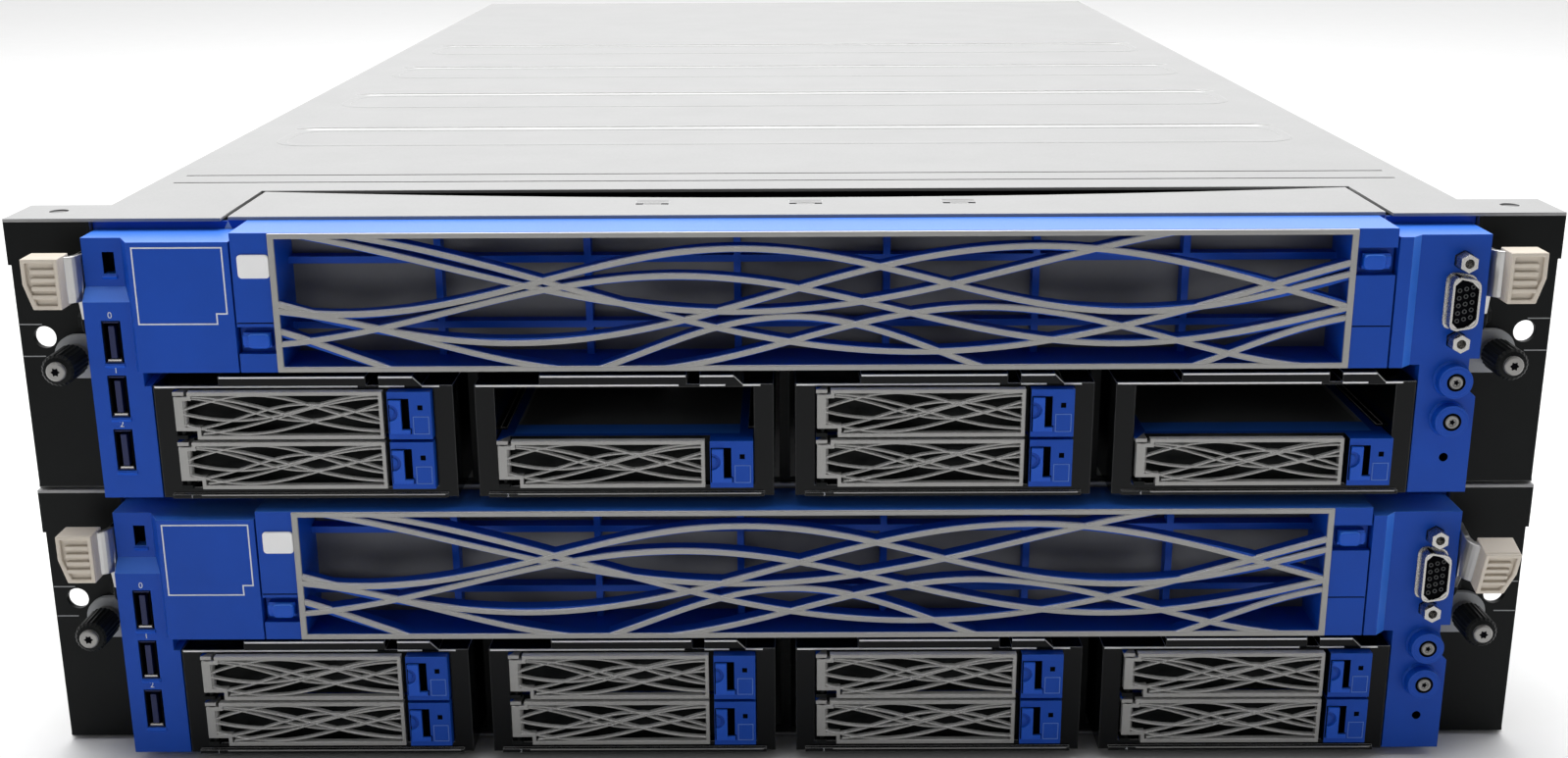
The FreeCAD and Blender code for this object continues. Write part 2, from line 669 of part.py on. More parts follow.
def lever_stud(body, side):
    """Pin with a head that carries an ejector lever beside a control panel."""
    start = side * panel_half
    eye = side * (panel_half + d.lever_plate + 2 * d.fit_gap)
    end = side * (panel_half + d.lever_plate + 2 * d.fit_gap + d.lever_pin)
    pivot = -d.lever_pivot_reach
    pin = circle(pivot, d.lever_pivot_height, d.lever_pin)
    head = regular(pivot, d.lever_pivot_height, d.lever_pin * 1.8, HEXAGON)
    for outline, near, far in ((pin, start, eye), (head, eye, end)):
        low, high = (far, near) if side < 0 else (near, far)
        slab(body, "side", [outline], low, high)


def left_panel():
    """Left control panel: blank label field and the column of USB sockets."""
    body = new_body("LeftPanel")
    ledge = d.column_reach - d.column_step
    head = [(-panel_half, 0), (-panel_half, -ledge), (-column_inner - d.column_step, -ledge),
            (-column_inner, -d.front_reach), (-label_inner, -d.front_reach), (-label_inner, 0)]
    slab(body, "plan", [head], bezel_low, d.panel_top)
    column = [(0, d.panel_bottom), (-d.column_reach, d.panel_bottom), (-d.column_reach, d.column_ledge),
              (-ledge, d.column_ledge + d.column_step), (0, d.column_ledge + d.column_step)]
    slab(body, "side", [column], -panel_half, -column_inner)
    foot = [(0, d.panel_bottom), (-d.column_reach, d.panel_bottom), (-d.column_reach, d.column_foot_top),
            (0, d.column_foot_top + d.column_foot)]
    slab(body, "side", [foot], -column_inner, d.column_foot - column_inner)
    half = d.usb_width / 2 + d.fit_gap
    up = d.usb_height / 2 + d.fit_gap
    socket = rectangle(-socket_axis - half, d.usb_first - up, -socket_axis + half, d.usb_first + up)
    pocket = cut(body, "front", [socket], -d.column_reach, d.usb_depth - d.column_reach)
    repeat(body, pocket, "Z_Axis", d.usb_pitch, 3)
    slot_low = d.column_ledge + 2 * d.column_step
    slot_left = -socket_axis - d.slot_width / 2
    slot = rectangle(slot_left, slot_low, slot_left + d.slot_width, slot_low + d.slot_height)
    cut(body, "front", [slot], -ledge, d.slot_depth - ledge)
    tab_notch(body, -1)
    lever_stud(body, -1)
    return body


def right_panel():
    """Right control panel: video connector, power, locate and reset."""
    body = new_body("RightPanel")
    step = d.front_reach - d.right_reach
    ramp = right_head_inner + d.column_step
    head = [(right_head_inner, 0), (right_head_inner, -d.front_reach), (ramp, -d.front_reach),
            (ramp + step, -d.right_reach), (panel_half, -d.right_reach), (panel_half, 0)]
    slab(body, "plan", [head], bezel_low, d.panel_top)
    column = rectangle(right_column_inner, d.panel_bottom, panel_half, bezel_low)
    slab(body, "front", [column], -d.right_reach, 0)
    front = -d.right_reach
    seat = front + d.video_seat
    cut(body, "front", [video_outline(d.fit_gap)], front, seat)
    cut(body, "front", jack_outlines(d.jack_radius + d.fit_gap), front, seat)
    for index in range(2):
        height = d.button_first - index * d.button_pitch
        slab(body, "front", [circle(socket_axis, height, d.boss_radius)], front - d.boss_reach, front)
        bore = circle(socket_axis, height, d.button_radius + d.fit_gap)
        cut(body, "front", [bore], front - d.boss_reach, tab_front - d.fit_gap)
    reset = d.button_first - 2 * d.button_pitch
    cut(body, "front", [circle(socket_axis, reset, d.reset_radius)], front, front + d.slot_depth)
    notch = panel_half - d.edge_notch_width
    edge = panel_half + d.fit_gap
    low = d.edge_notch_low
    cut(body, "front", [[(notch, low + d.edge_notch_width), (edge, low), (edge, d.edge_notch_high),
                         (notch, d.edge_notch_high)]], front, 0)
    tab_notch(body, 1)
    lever_stud(body, 1)
    return body


def usb_socket():
    """Lowest USB socket, seated on the bottom of its pocket."""
    body = new_body("UsbSocket")
    front = -d.column_reach
    half = d.usb_width / 2
    up = d.usb_height / 2
    outer = rectangle(-socket_axis - half, d.usb_first - up, -socket_axis + half, d.usb_first + up)
    slab(body, "front", [outer], front, front + d.usb_depth)
    inner_half = half - d.usb_wall
    inner_up = up - d.usb_wall
    axis = -socket_axis
    inside = rectangle(axis - inner_half, d.usb_first - inner_up, axis + inner_half, d.usb_first + inner_up)
    tongue_half = d.usb_tongue / 2
    tongue_up = inner_up - d.usb_tongue_margin
    tongue = rectangle(axis - tongue_half, d.usb_first - tongue_up,
                       axis + tongue_half, d.usb_first + tongue_up)
    cut(body, "front", [inside, tongue], front, front + d.usb_well)
    return body


def video_outline(margin):
    """Tapered outline of the video shell, wider by a margin all round."""
    left = socket_axis - d.video_shell_width / 2 - margin
    right = socket_axis + d.video_shell_width / 2 + margin
    long = d.video_shell_long / 2 + margin
    short = d.video_shell_short / 2 + margin
    middle = d.video_height
    corner = d.video_shell_width / 4
    return [(left, middle - long + corner), (left + corner, middle - long), (right - corner, middle - short),
            (right, middle - short + corner), (right, middle + short - corner),
            (right - corner, middle + short), (left + corner, middle + long), (left, middle + long - corner)]


def jack_outlines(radius):
    """Hexagons above and below the video shell."""
    screw = d.video_screw_span / 2
    return [regular(socket_axis, d.video_height + offset, radius, HEXAGON) for offset in (-screw, screw)]


def video_connector():
    """Hollow tapered shell with its insert, seated in the right panel."""
    body = new_body("VideoConnector")
    seat = d.video_seat - d.right_reach
    mouth = -d.right_reach - d.video_shell_reach
    slab(body, "front", [video_outline(0)], mouth, seat)
    cut(body, "front", [video_outline(-d.video_wall)], mouth, mouth + d.video_wall)
    return body


def jack_screws():
    """Two hexagonal posts with threaded bores, beside the video shell."""
    screw = d.video_screw_span / 2
    seat = d.video_seat - d.right_reach
    mouth = -d.right_reach - d.video_shell_reach
    posts = []
    for offset, outline in zip((-screw, screw), jack_outlines(d.jack_radius)):
        body = new_body("JackScrew")
        slab(body, "front", [outline], mouth, seat)
        cut(body, "front", [circle(socket_axis, d.video_height + offset, d.jack_bore)], mouth, -d.right_reach)
        posts.append(body)
    return posts


def lever_arm():
    """Right-hand ejector lever: steel plate with an eye and an outward flange."""
    body = new_body("LeverArm")
    near = panel_half + d.fit_gap
    far = near + d.lever_plate
    flange_front = d.grip_face - d.grip_reach
    low = d.grip_bottom + d.grip_wall
    high = d.grip_bottom + d.grip_height - d.grip_wall
    pivot = -d.lever_pivot_reach
    back = pivot + d.lever_boss
    eye = d.lever_pivot_height
    plate = [(flange_front, low), (pivot - d.lever_boss, eye), (back, eye), (back, high - d.lever_boss),
             (pivot, high), (flange_front, high)]
    slab(body, "side", [plate], near, far)
    slab(body, "side", [circle(pivot, d.lever_pivot_height, d.lever_boss)], near, far)
    outer = grip_outer - d.grip_slant
    slab(body, "front", [rectangle(near, low, outer, high)], flange_front, flange_front + d.lever_plate)
    cut(body, "side", [circle(pivot, d.lever_pivot_height, d.lever_pin + d.fit_gap)], near, far)
    return body


def lever_grip():
    """Ribbed grip moulded over the flange of the right-hand lever."""
    body = new_body("LeverGrip")
    inner = grip_outer - d.grip_width
    low = d.grip_bottom
    high = d.grip_bottom + d.grip_height
    front = -d.grip_reach
    outline = [(inner, low), (grip_outer - d.grip_slant + d.grip_wall, low),
               (grip_outer, low + d.grip_height / 2), (grip_outer, high), (inner, high)]
    slab(body, "front", [outline], front, front + d.grip_depth)
    seat = rectangle(inner, low + d.grip_wall, grip_outer - d.grip_slant, high - d.grip_wall)
    cut(body, "front", [seat], front + d.grip_face, front + d.grip_depth)
    pitch = d.grip_height / (GRIP_GROOVES + 1)
    half = d.groove_width / 2
    groove_end = grip_outer - d.grip_slant - d.groove_margin
    groove = rectangle(inner + d.groove_margin, low + pitch - half, groove_end, low + pitch + half)
    repeat(body, cut(body, "front", [groove], front, front + d.groove_depth), "Z_Axis", pitch, GRIP_GROOVES)
    return body


def thumbscrew():
    """Captive screw about its own axis: head, ridged knob and shank."""
    body = new_body("Thumbscrew")
    front = -d.thumb_reach
    seat = tab_front - d.slide_gap
    knob = front + d.thumb_head_radius / 2
    slab(body, "front", [regular(0, 0, d.thumb_radius, KNOB_SIDES)], knob, seat)
    slab(body, "front", [regular(0, 0, d.thumb_head_radius, KNOB_SIDES)], front, knob)
    slab(body, "front", [regular(0, 0, d.thumb_shank_radius, KNOB_SIDES)], seat, d.thumb_shank_length)
    return body


def push_button():
    """Round push button about its own axis."""
    body = new_body("PushButton")
    front = -d.right_reach - d.boss_reach - d.button_crown
    back = tab_front - d.fit_gap * 2 - d.button_travel
    slab(body, "front", [circle(0, 0, d.button_radius)], front, back)
    return body


def wave_edges(wave, left, low, width, height, thick):
    """Upper and lower edge of a band along one cosine wave."""
    middle, swing, crest, length = wave
    upper = []
    lower = []
    steps = 2 + round(POINTS_PER_WAVE / length)
    for step in range(steps + 1):
        share = WAVE_OVERRUN * (2 * step / steps - 1) + step / steps
        angle = 2 * pi * (share - crest) / length
        place = FreeCAD.Vector(left + share * width, 0, low + height * (middle + swing * cos(angle)))
        slope = atan2(-height * swing * sin(angle) * 2 * pi / length, width)
        lift = FreeCAD.Vector(-sin(slope), 0, cos(slope)) * (thick / 2)
        upper.append(place + lift)
        lower.append(place - lift)
    return upper, lower


def smooth_band(upper, lower):
    """Face between two splines."""
    sides = []
    for points in (upper, lower):
        curve = Part.BSplineCurve()
        curve.interpolate(points)
        sides.append(curve.toShape())
    ends = [Part.makeLine(lower[0], upper[0]), Part.makeLine(lower[-1], upper[-1])]
    return Part.Face(Part.Wire(Part.__sortEdges__(sides + ends)))


def plain_band(upper, lower):
    """Face between two chains of short straight edges."""
    return Part.Face(Part.makePolygon(upper + lower[::-1] + upper[:1]))


def weave(name, bands, outline, front, depth):
    """Bands joined into one lattice, trimmed to an outline of the front view."""
    corners = [FreeCAD.Vector(as_size(u).value, 0, as_size(v).value) for u, v in outline]
    field = Part.Face(Part.makePolygon(corners + corners[:1]))
    lattice = bands[0].multiFuse(bands[1:]).common(field).removeSplitter()
    lattice.translate(FreeCAD.Vector(0, front.value, 0))
    strands = doc.addObject("Part::Feature", name)
    strands.Shape = lattice.extrude(FreeCAD.Vector(0, depth.value, 0))
    return strands


def wave_grille():
    """Interlaced wave strands across the opening of the bezel."""
    sizes = (grille_left, grille_low, grille_right - grille_left, grille_high - grille_low)
    field = [size.value for size in sizes]
    bands = [smooth_band(*wave_edges(wave, *field, d.strand_width.value)) for wave in GRILLE_WAVES]
    opening = rectangle(grille_left, grille_low, grille_right, grille_high)
    return weave("WaveGrille", bands, opening, -d.front_reach, d.strand_depth)


def bezel_frame():
    """Moulded bezel frame with the duct grid behind its opening."""
    body = new_body("BezelFrame")
    outer = rectangle(bezel_left, bezel_low, bezel_right, cover_under)
    slab(body, "front", [outer], -d.front_reach, -d.slide_gap)
    opening = rectangle(grille_left, grille_low, grille_right, grille_high)
    cut(body, "front", [opening], -d.front_reach, -d.slide_gap)
    back = -d.slide_gap - d.filter_sheet
    front = back - d.duct_depth
    height = grille_high - grille_low
    for share in DUCT_ROWS:
        middle = grille_low + height * share
        bar = rectangle(grille_left, middle - d.duct_bar / 2, grille_right, middle + d.duct_bar / 2)
        slab(body, "front", [bar], front, back)
    pitch = (grille_right - grille_left) / (DUCT_COLUMNS + 1)
    columns = []
    for number in range(1, DUCT_COLUMNS + 1):
        middle = grille_left + pitch * number
        columns.append(rectangle(middle - d.duct_bar / 2, grille_low, middle + d.duct_bar / 2, grille_high))
    slab(body, "front", columns, front, back)
    left_rim = grille_left - d.grille_rim
    right_rim = grille_right + d.grille_rim
    face = -d.front_reach
    for inner, outer, low in ((bezel_left, left_rim, grille_low + d.catch_offset),
                              (right_rim, bezel_right, grille_high - d.catch_offset - d.catch_height)):
        high = low + d.catch_height
        recess = rectangle(inner, low - d.catch_margin, outer, high + d.catch_margin)
        cut(body, "front", [recess], face, face + d.catch_recess)
        middle = (inner + outer) / 2
        catch = rectangle(middle - d.catch_width / 2, low, middle + d.catch_width / 2, high)
        slab(body, "front", [catch], face + d.catch_sink, face + d.catch_recess)
    return body


def bezel():
    """Bezel frame with its wave grille, and the dust filter behind them."""
    face = doc.addObject("Part::Fuse", "BezelFace")
    face.Base = bezel_frame()
    face.Tool = wave_grille()
    face.Refine = True
    dust_filter = box("DustFilter", grille_left, -d.slide_gap - d.filter_sheet, grille_low,
                      grille_right - grille_left, d.filter_sheet, grille_high - grille_low)
    return group("Bezel", [face, dust_filter])


def module_housing():
    """Fan module drawn about its middle: two drive bays, fan bores and release bar."""
    body = new_body("ModuleHousing")
    front = -d.module_reach
    wall = d.drive_back + d.slide_gap * 3
    shell = rectangle(-module_half, module_bottom, module_half, module_top)
    slab(body, "front", [shell], front, d.module_back)
    cut(body, "front", [rectangle(-bay_half, bay_bottom, bay_half, bay_top)], front, wall)
    ledge = bay_bottom + d.drive_height + 2 * d.drive_gap
    ledge_inner = bay_half - d.ledge_width
    ledges = [rectangle(-bay_half, ledge, -ledge_inner, ledge + d.ledge_thickness),
              rectangle(ledge_inner, ledge, bay_half, ledge + d.ledge_thickness)]
    slab(body, "front", ledges, d.module_frame - d.drive_face, wall)
    middle = (module_bottom + module_top) / 2
    bores = [regular(side * bay_half / 2, middle, d.fan_radius, FAN_SIDES) for side in (-1, 1)]
    cut(body, "front", bores, wall, d.module_back)
    bar_left = d.release_start - module_half
    bar_right = bar_left + d.release_length
    lever_left = bar_right + d.release_lever_gap
    lever_right = lever_left + d.release_lever_length
    top = module_top + d.release_height
    lever = [(lever_left, module_top), (lever_right + d.release_height, module_top), (lever_right, top),
             (lever_left, top)]
    slab(body, "front", [rectangle(bar_left, module_top, bar_right, top), lever], front,
         front + d.module_frame * 2)
    lip = rectangle(d.lip_margin - module_half, module_bottom, module_half - d.lip_margin,
                    module_bottom + d.lip_height)
    slab(body, "front", [lip], front - d.lip_reach, front)
    return body


def fan_rotor():
    """Fan hub on a bearing spider, about the middle of its bore."""
    body = new_body("FanRotor")
    middle = (module_bottom + module_top) / 2
    start = d.drive_back + d.module_partition
    end = start + d.fan_depth
    slab(body, "front", [regular(0, middle, d.fan_hub, HUB_SIDES)], start, end)
    tip = (d.fan_radius - d.fit_gap) * cos(pi / FAN_SIDES)
    upright = rectangle(-d.fan_spoke, middle - tip, d.fan_spoke, middle + tip)
    slab(body, "front", [upright], end, end + d.fan_spoke)
    level = rectangle(-tip, middle - d.fan_spoke, tip, middle + d.fan_spoke)
    slab(body, "front", [level], end, end + d.fan_spoke)
    return body


def fan_module():
    """Housing with its two fans."""
    rotor = fan_rotor()
    fans = [copy(rotor, f"Fan{index}", (2 * index - 1) * bay_half / 2) for index in range(2)]
    return group("FanModule", [module_housing()] + fans)


def drive_carrier():
    """Carrier of the lower bay: floor, rails, front wall, hinge lugs and latch block."""
    body = new_body("DriveCarrier")
    low = bay_bottom + d.drive_gap
    high = low + d.drive_height
    face = -d.drive_face
    slab(body, "front", [rectangle(-drive_half, low, drive_half, high)], face, d.drive_back)
    inner = drive_half - d.carrier_rail
    well = rectangle(-inner, low + d.carrier_floor, inner, high)
    cut(body, "front", [well], face + d.drive_wall, d.drive_back)
    latch_left = drive_half - d.latch_width
    slab(body, "front", [rectangle(latch_left, low, drive_half, high)], -d.front_reach, face)
    slot_left = latch_left + d.latch_slide_width
    slot = rectangle(slot_left, low + d.latch_slot_margin, slot_left + d.latch_slot_width,
                     high - d.latch_slot_margin)
    cut(body, "front", [slot], -d.front_reach, d.latch_slot_depth - d.front_reach)
    lamp_left = (slot_left + d.latch_slot_width + drive_half - d.latch_lamp) / 2
    lamp_low = low + d.latch_lamp_height
    lamp = rectangle(lamp_left, lamp_low, lamp_left + d.latch_lamp, lamp_low + d.latch_lamp)
    cut(body, "front", [lamp], -d.front_reach, d.latch_lamp - d.front_reach)
    reach = handle_axis_front - d.handle_pin * 2
    lug = rectangle(-drive_half, reach, handle_axis + d.handle_pin * 2, face)
    slab(body, "plan", [lug], low, low + d.handle_lug)
    slab(body, "plan", [lug], high - d.handle_lug, high)
    slab(body, "plan", [regular(handle_axis, handle_axis_front, d.handle_pin, KNUCKLE_SIDES)], low, high)
    return body


def drive():
    """Carrier with its disk."""
    low = bay_bottom + d.drive_gap + d.carrier_floor
    inner = drive_half - d.carrier_rail
    front = d.drive_wall - d.drive_face
    disk = box("Disk", d.drive_gap - inner, front + d.slide_gap, low, 2 * inner - 2 * d.drive_gap,
               d.drive_back - front - d.slide_gap, d.disk_height)
    return group("Drive", [drive_carrier(), disk])


def drive_handle():
    """Swing handle of the lower bay: stepped rim with its hinge knuckle, and a lattice of waves."""
    rim = new_body("HandleRim")
    low = bay_bottom + d.drive_gap
    high = low + d.drive_height
    front = handle_axis_front - d.handle_knuckle
    back = front + d.handle_plate
    right = drive_half - d.latch_width - d.handle_gap
    left = handle_axis - d.handle_knuckle
    slab(rim, "front", [handle_outline(left, low, right, high, 0, 0)], front, back)
    window = handle_outline(left, low, right, high, d.handle_post, d.handle_bar)
    cut(rim, "front", [window], front, back)
    foot = low + d.handle_step_height
    brow = high - d.handle_lug - d.fit_gap
    slab(rim, "plan", [regular(handle_axis, handle_axis_front, d.handle_knuckle, KNUCKLE_SIDES)], foot, brow)
    bore = (d.handle_pin + d.fit_gap) / cos(pi / KNUCKLE_SIDES)
    cut(rim, "plan", [regular(handle_axis, handle_axis_front, bore, KNUCKLE_SIDES)], foot, brow)
    field = [size.value for size in (left, low, right - left, high - low)]
    bands = [plain_band(*wave_edges(wave, *field, d.handle_strand.value)) for wave in HANDLE_WAVES]
    handle = doc.addObject("Part::Fuse", "DriveHandle")
    handle.Base = rim
    handle.Tool = weave("HandleLattice", bands, window, front, d.handle_plate)
    handle.Refine = True
    return handle


def handle_outline(left, low, right, high, post, rim):
    """Front view of a handle drawn in by its post and rim, with a step round each hinge lug."""
    foot = low + d.handle_step_height + rim
    toe = left + d.handle_step_width + rim
    brow = high - d.handle_lug - d.fit_gap - rim
    temple = left + d.handle_notch + rim
    return [(left + post, foot), (toe, foot), (toe, low + rim), (right - rim, low + rim),
            (right - rim, high - rim), (temple, high - rim), (temple, brow), (left + post, brow)]


def heat_sink():
    """Base with upright fins, about the middle."""
    body = new_body("HeatSink")
    low = d.board_height + d.board_thickness
    half = d.sink_width / 2
    gap = (d.sink_width - d.sink_fin) / (SINK_FINS - 1)
    profile = [(-half, low), (half, low)]
    for number in reversed(range(SINK_FINS)):
        left = gap * number - half
        right = left + d.sink_fin
        if number < SINK_FINS - 1:
            profile.append((right, low + d.sink_base))
        profile += [(right, low + d.sink_height), (left, low + d.sink_height)]
        if number > 0:
            profile.append((left, low + d.sink_base))
    start = d.board_front + d.memory_pitch
    slab(body, "front", [profile], start, start + d.sink_length)
    return body


def electronics():
    """System board on standoffs with heat sinks, memory and the front sockets."""
    top = d.board_height + d.board_thickness
    board_half = blade_half - d.blade_sheet - d.board_margin
    board = box("Board", -board_half, d.board_front, d.board_height, 2 * board_half, d.board_length,
                d.board_thickness)
    members = [board]
    post = new_body("Standoff")
    slab(post, "plan", [regular(0, 0, d.standoff_radius, HEXAGON)], blade_floor, d.board_height)
    inset = 4 * d.standoff_radius
    for column in (-1, 1):
        for row in range(3):
            deep = d.board_front + inset + (d.board_length - 2 * inset) * (row / 2)
            members.append(copy(post, "Post", column * (board_half - inset), deep))
    sink = heat_sink()
    members += [copy(sink, "Sink", side * d.sink_offset) for side in (-1, 1)]
    stick = box("Memory", -d.memory_length / 2, 0, top, d.memory_length, d.memory_thickness, d.memory_height)
    bank_front = d.board_front + d.sink_length + 3 * d.memory_pitch
    for side in (-1, 1):
        for number in range(MEMORY_BANK):
            members.append(copy(stick, "Stick", side * d.sink_offset, bank_front + number * d.memory_pitch))
    usb = usb_socket()
    members += [copy(usb, f"Usb{number}", 0, 0, number * d.usb_pitch) for number in range(3)]
    members.append(video_connector())
    members += jack_screws()
    return group("Electronics", members)


def build_nodes():
    """Place every sub-part and return the nodes by name."""
    nodes = {}

    def node(name, source, across=0, deep=0, up=0):
        nodes[name] = copy(source, name, across, deep, up)
        return nodes[name]

    lift = {"lower": as_size(0), "upper": d.unit_pitch}

    def both_units(name, sources):
        members = [copy(source, f"{name}_{unit}", 0, 0, lift[unit]) for unit in UNITS for source in sources]
        nodes[name] = group(name, members)

    both_units("enclosure_trays", [enclosure_tray()])
    both_units("top_covers", [top_cover()])
    ear = rack_ear()
    both_units("rack_ears", [ear, mirror(ear, "LeftEar")])
    supply = power_supply()
    supplies = []
    for index in range(2):
        supplies.append(copy(supply, f"Supply{index}", index * d.supply_pitch - supply_first))
    both_units("power_supplies", supplies)

    tray = group("BladeFrame", [blade_tray(), front_plate()])
    panels = group("ControlPanels", [left_panel(), right_panel()])
    boards = electronics()
    face = bezel()
    right_lever = group("RightLever", [lever_arm(), lever_grip()])
    left_lever = mirror(right_lever, "LeftLever")
    screw = thumbscrew()
    button = push_button()
    module = fan_module()
    one_drive = drive()
    handle = drive_handle()

    for unit in UNITS:
        up = lift[unit]
        node(f"{unit}_blade_tray", tray, 0, 0, up)
        node(f"{unit}_control_panels", panels, 0, 0, up)
        node(f"{unit}_electronics", boards, 0, 0, up)
        node(f"{unit}_bezel", face, 0, 0, up)
        node(f"{unit}_left_lever", left_lever, 0, 0, up)
        tilt_lever(node(f"{unit}_right_lever", right_lever, 0, 0, up), unit, up)
        node(f"{unit}_left_thumbscrew", screw, -thumb_axis, 0, up + d.thumb_height)
        node(f"{unit}_right_thumbscrew", screw, thumb_axis, 0, up + d.thumb_height)
        node(f"{unit}_power_button", button, socket_axis, 0, up + d.button_first)
        node(f"{unit}_locate_button", button, socket_axis, 0, up + d.button_first - d.button_pitch)
        for number in MODULES:
            middle = module_middle(number)
            node(f"{unit}_fan_module_{number}", module, middle, 0, up)
            for index, bay in enumerate(BAYS):
                if (unit, number, bay) in EMPTY_BAYS:
                    continue
                node(f"{unit}_drive_{number}_{bay}", one_drive, middle, 0, up + index * drive_pitch)
                node(f"{unit}_handle_{number}_{bay}", handle, middle, 0, up + index * drive_pitch)
    return nodes


def tilt_lever(lever, unit, up):
    """The photographed server has its lower right lever pushed part of the way down."""
    if unit != "lower":
        return
    turn = FreeCAD.Rotation(FreeCAD.Vector(1, 0, 0), LEVER_PHOTO_TILT)
    lever.Placement = FreeCAD.Placement(FreeCAD.Vector(), turn)
    angle = LEVER_PHOTO_TILT * pi / 180
    reach = -d.lever_pivot_reach
    height = d.lever_pivot_height
    bind(lever, "Placement.Base.y", reach - (reach * cos(angle) - height * sin(angle)))
    bind(lever, "Placement.Base.z", up + height - (reach * sin(angle) + height * cos(angle)))


def check_and_write(nodes):
    """Stop on any failed feature, then write one file for each node."""
    doc.recompute()
    failed = [item.Label for item in doc.Objects if {"Invalid", "Error"} & set(item.State)]
    if failed:
        raise RuntimeError(f"failed features: {failed}")
    for name, item in nodes.items():
        if item.Shape.isNull() or not item.Shape.isValid():
            raise RuntimeError(f"bad shape: {name}")
    os.makedirs("parts", exist_ok=True)
    for name, item in nodes.items():
        item.Shape.exportStep(f"parts/{name}.step")
    print(f"{len(nodes)} nodes, {sum(len(item.Shape.Solids) for item in nodes.values())} solids")


check_and_write(build_nodes())
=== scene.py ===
import bmesh
import bpy
import json
from math import atan2, cos, pi, radians, sin
from mathutils import Matrix, Vector


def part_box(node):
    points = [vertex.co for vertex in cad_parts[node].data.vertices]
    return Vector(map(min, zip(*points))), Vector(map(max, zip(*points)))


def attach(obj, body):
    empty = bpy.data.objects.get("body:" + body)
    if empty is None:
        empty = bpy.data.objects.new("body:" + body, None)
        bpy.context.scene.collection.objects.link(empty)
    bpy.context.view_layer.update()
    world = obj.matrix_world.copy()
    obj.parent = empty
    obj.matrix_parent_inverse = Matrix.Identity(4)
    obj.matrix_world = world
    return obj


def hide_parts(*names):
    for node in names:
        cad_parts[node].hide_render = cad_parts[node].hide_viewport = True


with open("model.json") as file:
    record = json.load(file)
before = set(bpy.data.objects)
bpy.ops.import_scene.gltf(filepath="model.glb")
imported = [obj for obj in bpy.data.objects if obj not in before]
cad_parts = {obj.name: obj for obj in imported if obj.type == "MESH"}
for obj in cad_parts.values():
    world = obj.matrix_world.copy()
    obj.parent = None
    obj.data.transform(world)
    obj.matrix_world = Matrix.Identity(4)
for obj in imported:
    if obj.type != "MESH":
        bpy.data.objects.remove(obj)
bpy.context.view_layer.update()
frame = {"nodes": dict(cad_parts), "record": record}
scene = bpy.context.scene

# Lengths are in millimetres until a mesh is made. The frame is the part's own:
# X to the right, Y from the front to the rear, Z up, origin on the underside.
MM = 0.001
UNITS = ("lower", "upper")
SIDES = {"left": -1, "right": 1}
MODULES = (1, 2, 3, 4)
BAYS = ("bottom", "top")

# Least step between two faces, how deep a thin piece is let in, and lines on a face.
STEP = 0.1
SEAT = 0.2
LINE_WIDTH = 0.35
LINE_RELIEF = 0.06
INK_RELIEF = 0.03
DIGIT_SHARE = 0.7

# Camera of the photograph, fitted to the rack ears of both units.
PHOTO_WIDTH = 1599
PHOTO_FOCAL = 1828.2
SENSOR_WIDTH = 36
CAMERA_PLACE = (1.2, -546.4, 286.1)
CAMERA_PITCH = 16.485
CAMERA_YAW = -0.139
CAMERA_ROLL = -0.272

# Floor in millimetres; lights in metres: name, place, aim, width and power.
FLOOR_HALF = 6000
FLOOR_LOW = -20
FLOOR_TOP = -0.5
WORLD_FADE = {"From_Min": -0.5, "From_Max": 0.3, "To_Min": 0.1, "To_Max": 1.5}
LIGHTS = (
    ("softbox_above", (-0.1, 0.6, 1.8), (0, 0.4, 0.1), 1.6, 40),
    ("front_left", (-1.3, -1.6, 0.9), (0, 0, 0.09), 0.8, 3),
    ("front_right", (1.4, -1.5, 0.8), (0, 0, 0.09), 0.8, 1.5),
)

# Wave lattices: middle height, amplitude, place of a crest and wavelength of each
# strand, as shares of the opening's height and width.
GRILLE_WAVES = (
    (0.66, 0.25, 0.43, 0.74),
    (0.43, 0.27, 0.37, 0.84),
    (0.55, 0.37, 0.71, 0.98),
    (0.60, 0.50, -0.05, 1.30),
    (0.20, 0.25, 0.66, 0.70),
    (0.78, 0.36, 0.98, 1.10),
    (0.10, 0.28, -0.08, 0.56),
)
HANDLE_WAVES = (
    (0.53, 0.37, 0.00, 2.00),
    (0.48, 0.38, 1.00, 2.00),
    (0.66, 0.27, 1.00, 1.50),
    (0.62, 0.30, 0.35, 1.40),
    (0.36, 0.26, 1.00, 1.40),
    (0.46, 0.27, 0.62, 1.30),
    (0.62, 0.24, 0.00, 1.20),
)
WAVE_STATIONS = 96
WAVE_OVERRUN = 0.02
LEVEL_STEP = 0.03

# Bezel. Pairs of heights are for its left and right ends. Catches reach outwards along X.
BEZEL_LEFT_END = 13.4
BEZEL_RIGHT_END = 14
BEZEL_BAR = 1.8
BEZEL_SEAMS = (15.4, 13.0)
SEAM_INSET = 0.2
GRILLE_RIM = 2
STRAND_WIDTH = 2.1
STRAND_CREST = 0.34
STRAND_CAP = 0.7
STRAND_ROOT = 0.3
STRAND_OVERLAP = 0.5
PLATE_LOW = 29.6
PLATE_HIGH = 36.9
PLATE_MARGIN = 1.8
PLATE_CORNER = 1.2
PLATE_RELIEF = 0.8
CATCH_FEET = (7.8, 30.95)
CATCH_HEAD = (-4.2, 2.6)
CATCH_STEM = (2.0, 4.6)
CATCH_HEIGHT = 4.7
CATCH_STEP = 0.5
CATCH_CORNER = 1.5
CATCH_RELIEF = 1.4
CATCH_ROOT = 1.5

